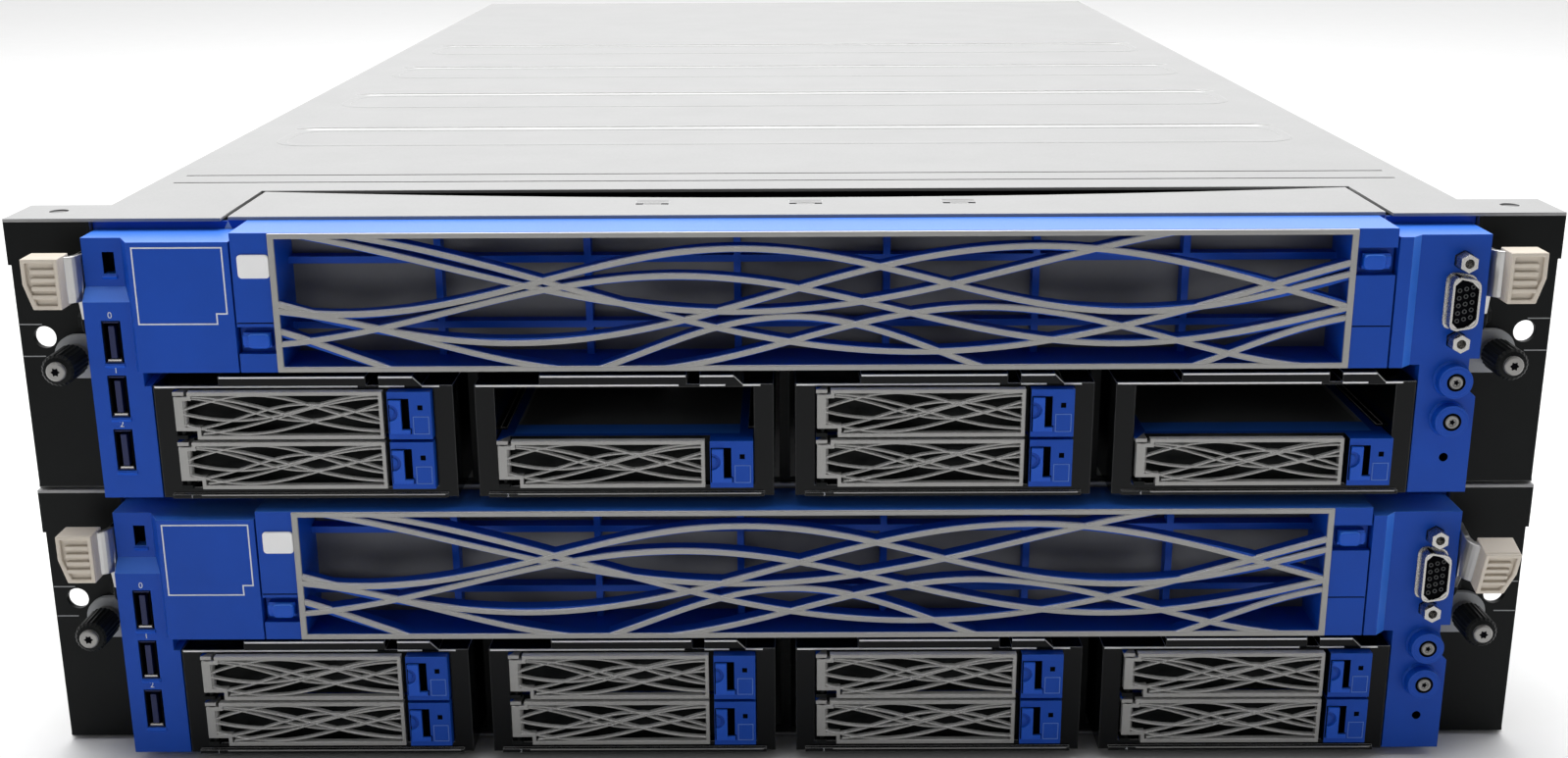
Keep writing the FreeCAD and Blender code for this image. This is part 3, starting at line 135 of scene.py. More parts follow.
# Drive handles
HANDLE_BAR = 1.2
HANDLE_POST = 2.8
WIRE = 0.75
WIRE_CREST = 0.3
WIRE_ROOT = 0.7
KNUCKLE = 1.8
TOE_WIDTH = 6.4
TOE_HEIGHT = 2.8
BROW_WIDTH = 4.2
BROW_HEIGHT = 1.5
HANDLE_DEPTH = 2.6
LATTICE_GAP = 1.2
LATTICE_MARGIN = 0.3

# Drive latches, from the lower left corner. Boxes, here and below, are left, low, right, high.
LATCH_WIDTH = 13.4
SLIDER_RELIEF = 1
SHADOW_GAP_RELIEF = 0.04
DENT = (0.6, 8.8)
DENT_RADIUS = 2.7
DENT_STUD = 1.5
STUD_RELIEF = 0.5
DENT_STEPS = 12
FIELD = (7.6, 1.6, 12.6, 7.4)
FIELD_INSIDE = (7.85, 1.85, 12.35, 7.15)
FIELD_RELIEF = 0.12
LENS = (9.2, 9.4, 10.8, 11.0)
LENS_DEPTHS = (0.4, 1.0)

# Thin top at the front of a drive carrier
DECK_START = -12.1
DECK_END = -2.5
DECK_SIDE = 4.2
DECK_SINK = 0.05
DECK_THICKNESS = 1.1

# Fan modules
RELEASE_HEIGHT = 2.9
RELEASE_START = 20.1
RELEASE_LENGTH = 45.5
RELEASE_GAP = 4
RELEASE_LEVER = 10.4
SHORTFALL = 2.5
LIP_HEIGHT = 1.3
LIP_REACH = 1.2
LIP_HIGHLIGHT_START = 12
MODULE_START = 0.4
MODULE_END = 4
MODULE_DIGIT = 1.1
DIGIT_PLACE = (9, 0.1)
# Strips of painted highlight along the top front edges
HIGHLIGHT_STRIP_HEIGHT = 0.55
HIGHLIGHT_STRIP_INSET = 0.3

# Enclosure, cover and front plate
CHASSIS_HALF = 215.6
SCREW_HEIGHTS = (22, 66)
SCREW_DEPTHS = (140, 400, 660)
SCREW_INSET = 7
CASE_SCREW = ((3.4, -0.2), (3.4, 0.5), (2.4, 0.75))
SCREW_RECESS = 1.2
CREASE_ENDS = (233, 240)
CREASE_HEIGHTS = (44.4, 54.8)
SUPPLY_COUNT = 2
SUPPLY_PITCH = 82
SUPPLY_SCREEN = (36, 8, 53, 34)
SUPPLY_RELIEF = 0.5
SUPPLY_LAMP = (44.5, 37.5)
LAMP_STEPS = ((1.3, -0.1), (1.3, 0.5), (0.8, 0.9))
INLET_PINS = ((14.0, 21), (25.0, 21), (19.5, 25.5))
INLET_PIN = (-1, -2.2, 1, 2.2)
RIB_COUNT = 4
RIB_FIRST = 179
RIB_PITCH = 106
RIB_TIP = 198
PRESSING_WIDTH = 41
PRESSING_EDGE = 4
PRESSING_CORNER = 14
# Dark block of painted shade behind the cover's notch
NOTCH_SHADE = (-171, 44.3, 185, 46.3)
NOTCH_SHADE_DROP = 14
NOTCH_SHADE_TOP = 1
VENT_MIDDLE = 7
VENT_PITCH = 49
VENT_LENGTH = 10.5
VENT_WIDTH = 2
VENT_FRONT = 17.6
VENT_SLOT = 2.4
VENT_DEPTH = 0.9
SLOT_SINK = 0.03

# Left control panel
SOCKET_AXIS = 205.6
USB_HEIGHTS = (18.3, 35.7, 53.1)
USB_WIDTH = 5.3
USB_HEIGHT = 13
SLOT_LOW = 73.7
SLOT_WIDTH = 3.6
COLUMN_FRONT = -17
LEDGE_FRONT = -13
SILL_PROFILE = ((0.1, -0.2), (-0.7, -0.9), (0.1, -1.8))
SILL_MARGIN = 0.5
TREAD = (-2.1, 0.4, 2.1, 1.1)
TREAD_DEPTH = 6
SOCKET_DIGIT = 2
DIGIT_LIFT = 7.6
LABEL_FRONT = -20
LABEL_BOX = (-196.0, 59.3, -168.5, 83.4)
LABEL_NICK = 3.2
LABEL_LINE = 0.45
LABEL_RELIEF = 0.05

# Right control panel. Turned forms are given as steps of radius and level.
RIGHT_FRONT = -16.5
VIDEO_HEIGHT = 64.4
VIDEO_WIDTH = 8.4
VIDEO_LONG = 16.9
VIDEO_SHORT = 14.6
VIDEO_CORNER = 2.6
VIDEO_WALL = 0.6
VIDEO_INSERT = -20.9
VIDEO_SKIN = 0.12
VIDEO_CORE = 0.02
VIDEO_LIP = 0.7
FLANGE_RELIEF = 0.5
CONTACT_ROWS = 3
CONTACT_COLUMNS = 5
CONTACT_PITCH = (2.0, 2.35)
CONTACT_SHEAR = 0.55
CONTACT = ((0.72, 0.05), (0.72, -0.12), (0.42, -0.12), (0.42, 0.05))
BOSS_FRONT = -20.5
BOSS_FACE = ((2.5, 1.0), (2.55, -0.05), (4.3, -0.08), (4.9, 0.2), (5.28, 0.9))
BOSS_FOOT = ((5.28, -0.6), (5.9, 0.02), (2.5, 0.05))
WELL = ((0.05, 0.3), (0.05, -0.12), (0.75, -0.12), (0.8, 0.3))
CAP = ((0, 0.35), (-0.3, 0), (-0.8, 0.05), (-1.0, 0.4))
CAP_RECESS = 1.15
CAP_RIPPLE = 0.4

# Thumbscrews. Knob and collar are given from the knob's radius.
KNOB_TEETH = 44
KNOB_RIPPLE = 0.05
KNOB_SEAT = -4.6
KNOB_NOSE = ((-1.6, 1.3), (-0.7, 1.5), (0, 2.3))
KNOB_TAIL = ((0, -3.4), (-0.5, -2.9))
COLLAR = ((-0.9, -2.9), (-0.9, 0))
SCREW_HEAD = ((1.6, 0), (2.6, 0), (3.0, 0.4), (3.0, 1.6))
HEAD_RECESS = 1.5
STAR_POINTS = 12
STAR_RIPPLE = 0.35
THREAD_RADIUS = 2.6
THREAD_DEPTH = 0.35
THREAD_STEP = 0.4
THREAD_STEPS = 32

# Ejector levers
LEVER_HEIGHT = 15.7
LEVER_PLATE = 2
LEVER_BEND = 5
LEVER_MARGIN = 0.6
LEVER_GAP = 0.05
PHOTO_TILT = 18
EYE_RADIUS = 4.8
EYE_STEPS = 14
ARM_SHOULDER = 4
ARM_NECK = 3
ARM_TIP_HIGH = 10
ARM_TIP_LOW = 8
PIVOT_RADIUS = 5.3
PIVOT_NOSE = 4.6
PIVOT_CREST = 0.4
FLANGE_DEPTH = 4.5
FLANGE_MARGIN = 3
FLANGE_TAIL = 4
GRIP_WIDTH = 11.2
GRIP_DEPTH = 9
GRIP_EDGE = 1.3
GRIP_GROOVE = 1.2
GRIP_GROOVES = 5
GRIP_SLANT = 2.4

# Settings that all finishes share
COAT_ROUGHNESS = 0.12
CLOUD_NOISE = {"Detail": 4.0, "Roughness": 0.6}
CLOUD_STOPS = (0.3, 0.7)
GRAIN_NOISE = {"Detail": 3.0, "Roughness": 0.55}
GRAIN_DEPTH = 0.0002
GLOSS_RANGE = (0.85, 1.2)
EDGE_SAMPLES = 4
# Painted highlight on soft edges, most of it on edges that face up
HIGHLIGHT_EDGE_TURN = {"From_Min": 0.99, "From_Max": 0.80}
HIGHLIGHT_EDGE_SLOPE = {"From_Min": 0.05, "From_Max": 0.45, "To_Min": 0.15}
# Faces that look up more steeply than this take a painted highlight finish
HIGHLIGHT_FACE_SLOPE = 0.6
BEVEL_ANGLE = 35


def low_high(node):
    """Corners of a node in millimetres."""
    low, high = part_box(node)
    return low / MM, high / MM


UNIT_PITCH = low_high("upper_bezel")[0].z - low_high("lower_bezel")[0].z
LIFT = {"lower": 0.0, "upper": UNIT_PITCH}


# Finishes

def add_node(tree, kind, sources, operation=None, **values):
    """A shader node with inputs linked or set. In the name of a value an underscore is a space."""
    made = tree.nodes.new("ShaderNode" + kind)
    if operation:
        made.operation = operation
    for name, value in values.items():
        made.inputs[name.replace("_", " ")].default_value = value
    for socket, source in sources.items():
        tree.links.new(source, made.inputs[socket])
    return made


def tint(colour, share):
    """A colour made darker or lighter by a share, ready for a shader."""
    return (*[min(1.0, part * (1 + share)) for part in colour], 1)


def mix_colour(tree, factor, colour, other):
    """Give the shader a colour that turns into another one by a factor."""
    mix = tree.nodes.new("ShaderNodeMix")
    mix.data_type = "RGBA"
    mix.inputs["B"].default_value = (*other, 1)
    tree.links.new(factor, mix.inputs["Factor"])
    tree.links.new(colour, mix.inputs["A"])
    tree.links.new(mix.outputs["Result"], tree.nodes["Principled BSDF"].inputs["Base Color"])


def surface(name, colour, shade, gloss, grain=900.0, relief=0.05, metal=0.0, stretch=(1, 1, 1),
            coat=0.0, edge=0.3, edge_highlight=0.0, highlight_colour=(0.6, 0.6, 0.6), cloud=35.0, shine=0.5):
    """A finish of clouded colour with fine grain, whose soft edges carry a painted highlight, strongest where
    they face up.
    """
    material = bpy.data.materials.new(name)
    material.use_nodes = True
    tree = material.node_tree
    shader = tree.nodes["Principled BSDF"].inputs
    shader["Metallic"].default_value = metal
    shader["Specular IOR Level"].default_value = shine
    shader["Coat Weight"].default_value = coat
    shader["Coat Roughness"].default_value = COAT_ROUGHNESS
    place = add_node(tree, "TexCoord", {}).outputs["Object"]
    spot = add_node(tree, "Mapping", {"Vector": place}, Scale=stretch).outputs["Vector"]

    clouds = add_node(tree, "TexNoise", {"Vector": spot}, Scale=cloud, **CLOUD_NOISE)
    ramp = add_node(tree, "ValToRGB", {"Fac": clouds.outputs["Fac"]})
    for stop, position, share in zip(ramp.color_ramp.elements, CLOUD_STOPS, (-shade, shade)):
        stop.position = position
        stop.color = tint(colour, share)

    # Painted highlight: soft edges turn paler, mostly where they face up
    soft = add_node(tree, "Bevel", {}, Radius=edge * MM)
    soft.samples = EDGE_SAMPLES
    normal = soft.outputs["Normal"]
    flat = add_node(tree, "NewGeometry", {}).outputs["True Normal"]
    facing = add_node(tree, "VectorMath", {0: normal, 1: flat}, "DOT_PRODUCT")
    edge_highlight_share = add_node(tree, "MapRange", {"Value": facing.outputs["Value"]}, To_Max=edge_highlight, **HIGHLIGHT_EDGE_TURN)
    slope = add_node(tree, "SeparateXYZ", {"Vector": normal})
    upper = add_node(tree, "MapRange", {"Value": slope.outputs["Z"]}, **HIGHLIGHT_EDGE_SLOPE)
    crest = add_node(tree, "Math", {0: edge_highlight_share.outputs["Result"], 1: upper.outputs["Result"]}, "MULTIPLY")
    mix_colour(tree, crest.outputs["Value"], ramp.outputs["Color"], highlight_colour)

    fine = add_node(tree, "TexNoise", {"Vector": spot}, Scale=grain, **GRAIN_NOISE).outputs["Fac"]
    smooth, rough = (min(1.0, gloss * share) for share in GLOSS_RANGE)
    spread = add_node(tree, "MapRange", {"Value": fine}, To_Min=smooth, To_Max=rough)
    tree.links.new(spread.outputs["Result"], shader["Roughness"])
    bump = add_node(tree, "Bump", {"Height": fine, "Normal": normal}, Strength=relief, Distance=GRAIN_DEPTH)
    tree.links.new(bump.outputs["Normal"], shader["Normal"])
    return material


def perforated(name, colour, hole_colour, pitch, hole):
    """A sheet with a regular field of fine holes, for filters and screens."""
    material = surface(name, colour, 0.1, 0.45, metal=0.3, relief=0.02)
    tree = material.node_tree
    place = add_node(tree, "TexCoord", {}).outputs["Object"]
    plain = tree.nodes["Principled BSDF"].inputs["Base Color"].links[0].from_socket
    cells = add_node(tree, "TexVoronoi", {"Vector": place}, Scale=1 / (pitch * MM), Randomness=0)
    inside = add_node(tree, "Math", {0: cells.outputs["Distance"]}, "LESS_THAN")
    inside.inputs[1].default_value = hole
    mix_colour(tree, inside.outputs["Value"], plain, hole_colour)
    return material


# Colours of the painted highlight on soft edges
EDGE_HIGHLIGHT_PALE = (0.85, 0.85, 0.85)
EDGE_HIGHLIGHT_BLUE = (0.08, 0.28, 0.85)
COVER = surface("cover_satin_steel", (0.31, 0.31, 0.31), 0.03, 0.50, grain=1400, metal=0.15,
                relief=0.04, edge=0.5, edge_highlight=0.7, highlight_colour=(0.95, 0.95, 0.95))
# Pale rib floors, a painted highlight; darker pressings near the front, a painted shade
RIB_HIGHLIGHT = surface("pressed_rib_painted_highlight", (0.65, 0.65, 0.65), 0.02, 0.45, grain=1400, relief=0.04)
PRESSING_SHADE = surface("pressing_painted_shade", (0.24, 0.24, 0.24), 0.05, 0.45, grain=1400, metal=0.3, relief=0.04)
STEEL = surface("galvanised_steel", (0.42, 0.43, 0.44), 0.10, 0.36, grain=700, metal=0.8, relief=0.04,
                cloud=60)
BRIGHT = surface("turned_steel", (0.44, 0.43, 0.415), 0.08, 0.26, grain=1800, metal=0.95, relief=0.04,
                 edge_highlight=0.12, highlight_colour=EDGE_HIGHLIGHT_PALE)
ARM = surface("bent_steel", (0.50, 0.495, 0.485), 0.05, 0.30, grain=500, metal=0.9, relief=0.01,
              cloud=20)
DULL = surface("dull_steel", (0.26, 0.255, 0.245), 0.12, 0.34, grain=1500, metal=0.9, relief=0.08,
               edge_highlight=0.4, highlight_colour=EDGE_HIGHLIGHT_PALE)
BLACK = surface("black_powder_coat", (0.004, 0.005, 0.005), 0.25, 0.42, grain=1500, relief=0.12,
                shine=0.12, edge_highlight=0.10)
GLOSS_BLACK = surface("black_moulding", (0.002, 0.0025, 0.003), 0.25, 0.16, grain=1200, relief=0.03,
                      shine=0.14, edge=0.5, edge_highlight=0.6, highlight_colour=EDGE_HIGHLIGHT_PALE)
# Black for dark parts, and painted shade inside holes, slots and recesses
DARK = surface("black_and_painted_shade", (0.002, 0.002, 0.003), 0.3, 0.7, shine=0.02)
BLUE = surface("cobalt_moulding", (0.003, 0.062, 0.42), 0.07, 0.40, grain=1700, relief=0.06,
               shine=0.20, edge=0.35, edge_highlight=0.55, highlight_colour=EDGE_HIGHLIGHT_BLUE)
PALE_BLUE = surface("cobalt_catch", (0.005, 0.085, 0.55), 0.06, 0.36, grain=1700,
                    shine=0.25, edge_highlight=0.6, highlight_colour=EDGE_HIGHLIGHT_BLUE)
# Lighter blue for faces that look up or face the light, a painted highlight
BLUE_HIGHLIGHT = surface("cobalt_painted_highlight", (0.03, 0.17, 0.72), 0.06, 0.38, grain=1700,
                   shine=0.6, edge_highlight=0.6, highlight_colour=(0.3, 0.55, 0.95))
INDIGO = surface("indigo_tongue", (0.006, 0.012, 0.07), 0.15, 0.35, grain=1500, relief=0.04, shine=0.3)
SILVER = surface("silver_paint", (0.32, 0.316, 0.305), 0.06, 0.34, grain=2200, metal=0.30,
                 edge=0.2, edge_highlight=0.9, highlight_colour=EDGE_HIGHLIGHT_PALE)
# Pale silver, a painted highlight on faces that look up, on rib walls and on edge strips
HIGHLIGHT_FINISH = surface("painted_highlight_silver", (0.82, 0.82, 0.81), 0.03, 0.30, grain=2200, metal=0.2, relief=0.03)
CREAM = surface("cream_grip", (0.62, 0.555, 0.47), 0.05, 0.42, grain=1300, relief=0.06, edge_highlight=0.3,
                highlight_colour=(0.9, 0.87, 0.8))
GREY_TAB = surface("grey_tab", (0.30, 0.31, 0.32), 0.08, 0.42, grain=1200, edge_highlight=0.3)
INK = surface("white_ink", (0.74, 0.77, 0.83), 0.05, 0.55, grain=2500, relief=0.08)
PRINT = surface("pale_print", (0.10, 0.22, 0.62), 0.05, 0.5, grain=2500)
PLATE = surface("blank_white_plate", (0.90, 0.90, 0.90), 0.02, 0.30, grain=1500, relief=0.02, coat=0.3)
BOARD = surface("board_green", (0.012, 0.085, 0.035), 0.25, 0.40, grain=600, relief=0.10, cloud=180)
ALUMINIUM = surface("extruded_aluminium", (0.72, 0.73, 0.74), 0.05, 0.35, metal=1.0,
                    stretch=(1, 0.05, 1))
CHIP = surface("memory_black", (0.045, 0.047, 0.05), 0.3, 0.45, grain=700)
SUPPLY = surface("supply_grey", (0.30, 0.31, 0.32), 0.06, 0.42, metal=0.6)
LAMP = surface("lamp_lens", (0.003, 0.006, 0.004), 0.05, 0.20, grain=800, coat=0.3)
FILTER = perforated("dust_filter", (0.125, 0.128, 0.138), (0.075, 0.078, 0.086), 0.9, 0.34)
SCREEN = perforated("vent_screen", (0.30, 0.31, 0.32), (0.004, 0.004, 0.004), 2.6, 0.38)


# Meshes

AXES = {"plan": (0, 1, 2), "front": (0, 2, 1), "side": (1, 2, 0)}


class Shape:
    """A mesh under construction, in millimetres, with a finish for each face."""

    def __init__(self):
        self.mesh = bmesh.new()

    def face(self, corners, paint):
        made = self.mesh.faces.new(corners)
        made.material_index = paint

    def loop(self, view, outline, level):
        """Corners of an outline drawn in one view, at a level along the third axis."""
        first, second, along = AXES[view]
        corners = []
        for u, v in outline:
            place = Vector((0, 0, 0))
            place[first], place[second], place[along] = u, v, level
            corners.append(self.mesh.verts.new(place * MM))
        return corners

    def bridge(self, one, two, paint):
        """Walls between two closed loops of equal length."""
        count = len(one)
        for i in range(count):
            j = (i + 1) % count
            self.face((one[i], one[j], two[j], two[i]), paint)

    def prism(self, outline, low, high, paint=0, view="front"):
        """A closed outline of one view, between two levels."""
        near = self.loop(view, outline, low)
        far = self.loop(view, outline, high)
        self.face(near, paint)
        self.face(far, paint)
        self.bridge(near, far, paint)

    def rim(self, outer, inner, low, high, paint=0, view="front"):
        """A flat frame between two outlines with as many corners."""
        loops = [self.loop(view, outline, level) for level in (low, high) for outline in (outer, inner)]
        outer_low, inner_low, outer_high, inner_high = loops
        self.bridge(outer_low, inner_low, paint)
        self.bridge(outer_high, inner_high, paint)
        self.bridge(outer_low, outer_high, paint)
        self.bridge(inner_low, inner_high, paint)

    def lathe(self, middle, profile, segments=32, paint=0, ripple=0.0, ring=False, view="front"):
        """A turned form from (radius, level) points: closed at both ends, or a ring round a hole."""
        loops = []
        for radius, level in profile:
            outline = disc(*middle, radius, segments, ripple)
            loops.append(self.loop(view, outline, level))
        for one, two in zip(loops, loops[1:]):
            self.bridge(one, two, paint)
        if ring:
            self.bridge(loops[-1], loops[0], paint)
        else:
            self.face(loops[0], paint)
            self.face(loops[-1], paint)

    def ribbon(self, path, base, top, back, front, paint=0):
        """A raised band along a path in the front view, narrower at its front."""
        sections = []
        for place, slope in path:
            lift = Vector((-sin(slope), 0, cos(slope)))
            section = []
            for half, level in ((-base, back), (-top, front), (top, front), (base, back)):
                at = Vector((place[0], level, place[1])) + lift * half
                section.append(self.mesh.verts.new(at * MM))
            sections.append(section)
        for one, two in zip(sections, sections[1:]):
            self.bridge(one, two, paint)
        self.face(sections[0], paint)
        self.face(sections[-1], paint)

    def trim(self, left, low, right, high):
        """Cut off what reaches outside a rectangle of the front view, and close the cuts."""
        ways = (((-1, 0, 0), -left), ((1, 0, 0), right), ((0, 0, -1), -low), ((0, 0, 1), high))
        for outward, reach in ways:
            everything = self.mesh.verts[:] + self.mesh.edges[:] + self.mesh.faces[:]
            cut = bmesh.ops.bisect_plane(self.mesh, geom=everything, plane_no=outward, clear_outer=True,
                                         plane_co=Vector(outward) * (reach * MM))
            edges = [item for item in cut["geom_cut"] if isinstance(item, bmesh.types.BMEdge)]
            bmesh.ops.holes_fill(self.mesh, edges=edges)

    def move(self, matrix):
        bmesh.ops.transform(self.mesh, matrix=matrix, verts=self.mesh.verts[:])


def turned(angle, axis):
    """A turn in degrees about one axis through the origin."""
    return Matrix.Rotation(radians(angle), 4, axis)


def rectangle(left, low, right, high):
    return [(left, low), (right, low), (right, high), (left, high)]


def stepped(across, up, steps):
    """Points given as steps from one place, such as a radius and a level."""
    return [(across + step[0], up + step[1]) for step in steps]


def rounded(left, low, right, high, radius, steps=5):
    """A rectangle with round corners."""
    outline = []
    for across, up, start in ((right - radius, high - radius, 0), (left + radius, high - radius, 90),
                              (left + radius, low + radius, 180), (right - radius, low + radius, 270)):
        outline += arc(across, up, radius, start, start + 90, steps)
    return outline


def arc(across, up, radius, start, end, steps=8):
    """Points along part of a circle, between two angles in degrees."""
    angles = [radians(start + (end - start) * step / steps) for step in range(steps + 1)]
    return [(across + radius * cos(angle), up + radius * sin(angle)) for angle in angles]


def disc(across, up, radius, count=28, ripple=0.0):
    """A circle, or a toothed wheel where every other corner is drawn in."""
    outline = []
    for step in range(count):
        angle = 2 * pi * step / count
        reach = radius * (1 - ripple * (step % 2))
        outline.append((across + reach * cos(angle), up + reach * sin(angle)))
    return outline


def soft_corners(outline, radius, steps=4):
    """A polygon whose corners are rounded off."""
    points = [Vector(point) for point in outline]
    smooth = []
    for index, corner in enumerate(points):
        before = corner + (points[index - 1] - corner).normalized() * radius
        after = corner + (points[(index + 1) % len(points)] - corner).normalized() * radius
        for step in range(steps + 1):
            share = step / steps
            smooth.append(before.lerp(corner, share).lerp(corner.lerp(after, share), share))
    return [tuple(point) for point in smooth]


def finish_mesh(shape, name, materials, crest=0):
    """Turn a shape into a mesh. Faces that look up take the finish numbered crest, a painted highlight, if it
    isn't 0.
    """
    bmesh.ops.recalc_face_normals(shape.mesh, faces=shape.mesh.faces[:])
    for face in shape.mesh.faces:
        if crest and face.normal.z > HIGHLIGHT_FACE_SLOPE:
            face.material_index = crest
    mesh = bpy.data.meshes.new(name)
    shape.mesh.to_mesh(mesh)
    shape.mesh.free()
    for material in materials:
        mesh.materials.append(material)
    return mesh


def place_piece(name, mesh, body, slot, bevel=0.0, segments=2, at=(0, 0, 0)):
    """Put a mesh on a body, with its edges rounded."""
    piece = bpy.data.objects.new(name, mesh)
    scene.collection.objects.link(piece)
    piece.location = Vector(at) * MM
    if bevel:
        soften = piece.modifiers.new("rounded_edges", "BEVEL")
        soften.width = bevel * MM
        soften.segments = segments
        soften.limit_method = "ANGLE"
        soften.angle_limit = radians(BEVEL_ANGLE)
        soften.harden_normals = True
    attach(piece, body)
    return piece


def make_piece(name, shape, body, materials, slot, crest=0, **more):
    return place_piece(name, finish_mesh(shape, name, materials, crest), body, slot, **more)


def numeral(name, digit, height, at, body):
    """A plain digit in white ink on a front face."""
    letter = bpy.data.curves.new(name, "FONT")
    letter.body = str(digit)
    letter.size = height * MM / DIGIT_SHARE
    letter.align_x = "CENTER"
    letter.extrude = INK_RELIEF * MM
    stencil = bpy.data.objects.new(name + "_stencil", letter)
    mesh = bpy.data.meshes.new_from_object(stencil)
    bpy.data.objects.remove(stencil)
    mesh.transform(turned(90, "X"))
    mesh.materials.clear()
    mesh.materials.append(INK)
    place_piece(name, mesh, body, "button_white", at=at)


def wave_path(wave, left, low, width, height):
    """Points and slopes along one cosine wave."""
    middle, swing, crest, length = wave
    path = []
    for step in range(WAVE_STATIONS + 1):
        share = -WAVE_OVERRUN + (1 + 2 * WAVE_OVERRUN) * step / WAVE_STATIONS
        angle = 2 * pi * (share - crest) / length
        up = low + height * (middle + swing * cos(angle))
        slope = atan2(-height * swing * sin(angle) * 2 * pi / length, width)
        path.append(((left + share * width, up), slope))
    return path


# Finishes of the solids. A rule tells a node's faces apart by where they lie, in millimetres.

def paint_node(name, materials, rule):
    """Give each face of a node the finish that a rule picks for it."""
    mesh = frame["nodes"][name].data
    mesh.materials.clear()
    for material in materials:
        mesh.materials.append(material)
    for face in mesh.polygons:
        face.material_index = materials.index(rule(face.center / MM, face.normal))
        face.use_smooth = False


def paint_plain(name, material):
    paint_node(name, [material], lambda middle, facing: material)


def paint_solids():
    def tray_rule(middle, facing):
        reach = abs(middle.x)
        wing = middle.y <= 20 and reach >= 213
        if not wing:
            return STEEL
        return BLACK if reach < 217 else COVER

    paint_node("enclosure_trays", [STEEL, BLACK, COVER], tray_rule)
    cover_top = low_high("top_covers")[1].z % UNIT_PITCH

    def cover_rule(middle, facing):
        # Rib floors and walls take painted highlight; pressings in front of the ribs take painted shade
        pressed = 0.1 < cover_top - middle.z % UNIT_PITCH < 0.6
        if not pressed:
            return COVER
        if middle.y < RIB_FIRST - 2:
            return PRESSING_SHADE
        return RIB_HIGHLIGHT if facing.z > 0.5 else HIGHLIGHT_FINISH

    paint_node("top_covers", [COVER, RIB_HIGHLIGHT, PRESSING_SHADE, HIGHLIGHT_FINISH], cover_rule)
    paint_plain("rack_ears", BLACK)
    rear = low_high("enclosure_trays")[1].y
    low, high = low_high("power_supplies")

    def supply_rule(middle, facing):
        case = low.x + 1 < middle.x < high.x - 1 and 1.5 < middle.z % UNIT_PITCH < 40.5
        inlet = case and rear - 17 < middle.y < rear - 0.5
        if middle.y > rear + 0.5:
            return BLACK
        return DARK if inlet else SUPPLY

    paint_node("power_supplies", [SUPPLY, BLACK, DARK], supply_rule)
    for unit in UNITS:
        paint_unit(unit)


def paint_unit(unit):
    base = LIFT[unit]

    def tray_rule(middle, facing):
        height = middle.z - base
        roof = height > 87.5 and middle.y > -0.5
        tab = middle.y < -1.5
        bulkhead = height > 60 and middle.y < 5
        cage = height < 45 and middle.y < 60
        if roof:
            return COVER
        if tab:
            return GREY_TAB
        if bulkhead:
            return BLUE
        return BLACK if cage else STEEL

    paint_node(f"{unit}_blade_tray", [STEEL, COVER, GREY_TAB, BLACK, BLUE], tray_rule)

    def panel_rule(middle, facing):
        left = middle.x < 0
        height = middle.z - base
        side = abs(middle.x) > 213.5
        # Ledges that look up and the ramp facing the right-hand light take a painted highlight
        ledge = facing.z > 0.35 and middle.y < -4 and (left or height > 60)
        ramp = facing.x > 0.3 and facing.y < -0.3 and middle.x > 0
        depth = middle.y - (LEDGE_FRONT if left else RIGHT_FRONT)
        on_axis = abs(abs(middle.x) - SOCKET_AXIS) < 2
        # Faces inside the panel's openings take painted shade
        hole = on_axis and 0.05 < depth < 4.1 and (height > 70 if left else height < 16)
        if side:
            return BLACK
        if ledge or ramp:
            return BLUE_HIGHLIGHT
        return DARK if hole else BLUE

    paint_node(f"{unit}_control_panels", [BLUE, BLACK, DARK, BLUE_HIGHLIGHT], panel_rule)

    def electronics_rule(middle, facing):
        height = middle.z - base
        board = height < 9.7
        heat_sink = middle.y < 300
        tongue = abs(middle.x + SOCKET_AXIS) < 0.95 and middle.y < COLUMN_FRONT + 9
        across = abs(middle.x - SOCKET_AXIS)
        insert = across < 4 and abs(height - VIDEO_HEIGHT) < 8.2 and middle.y > -21.4
        if middle.y > 0:
            if board:
                return BOARD
            return ALUMINIUM if heat_sink else CHIP
        # The USB shells on the left take painted shade, their tongues a deep blue
        if middle.x < 0:
            return INDIGO if tongue else DARK
        return DARK if insert else BRIGHT

    electronics = [BOARD, BRIGHT, DARK, CHIP, ALUMINIUM, INDIGO]
    paint_node(f"{unit}_electronics", electronics, electronics_rule)
    low, high = low_high(f"{unit}_bezel")

    def bezel_rule(middle, facing):
        end = min(middle.x - low.x, high.x - middle.x)
        catch = end < 11.5 and -19.5 < middle.y < -19.3
        dust_filter = middle.y > -1.31
        # The bezel's top takes a painted highlight
        top = middle.z > high.z - 0.05
        if dust_filter:
            return FILTER
        if top:
            return BLUE_HIGHLIGHT
        return PALE_BLUE if catch else BLUE

    paint_node(f"{unit}_bezel", [BLUE, FILTER, PALE_BLUE, BLUE_HIGHLIGHT], bezel_rule)
    for number in MODULES:
        paint_plain(f"{unit}_fan_module_{number}", GLOSS_BLACK)


def paint_drive(drive):
    low, high = low_high(drive)
    latch = high.x - LATCH_WIDTH
    centre = (low.x + high.x) / 2

    def rule(middle, facing):
        across = middle.x - latch
        up = middle.z - low.z
        front = middle.y < -13.9
        lug = middle.x < low.x + 4 and up > 13
        # Faces inside the slot and lamp hole take painted shade
        slot = 4.3 < across < 6.7 and 2.1 < up < 13.2
        lamp = 9.1 < across < 10.9 and 9.3 < up < 11.1
        hole = (slot or lamp) and low.y + 0.05 < middle.y < -16.9
        disk = abs(middle.x - centre) < 35.4 and middle.y > -11.8 and 1.1 < up < 14
        if not front:
            return SUPPLY if disk else BLUE
        if across < 0:
            return SILVER if lug else BLACK
        return DARK if hole else BLUE

    paint_node(drive, [BLUE, SUPPLY, BLACK, DARK, SILVER], rule)


# Bezel: silver grille with its rim, blank plate, catches and seams

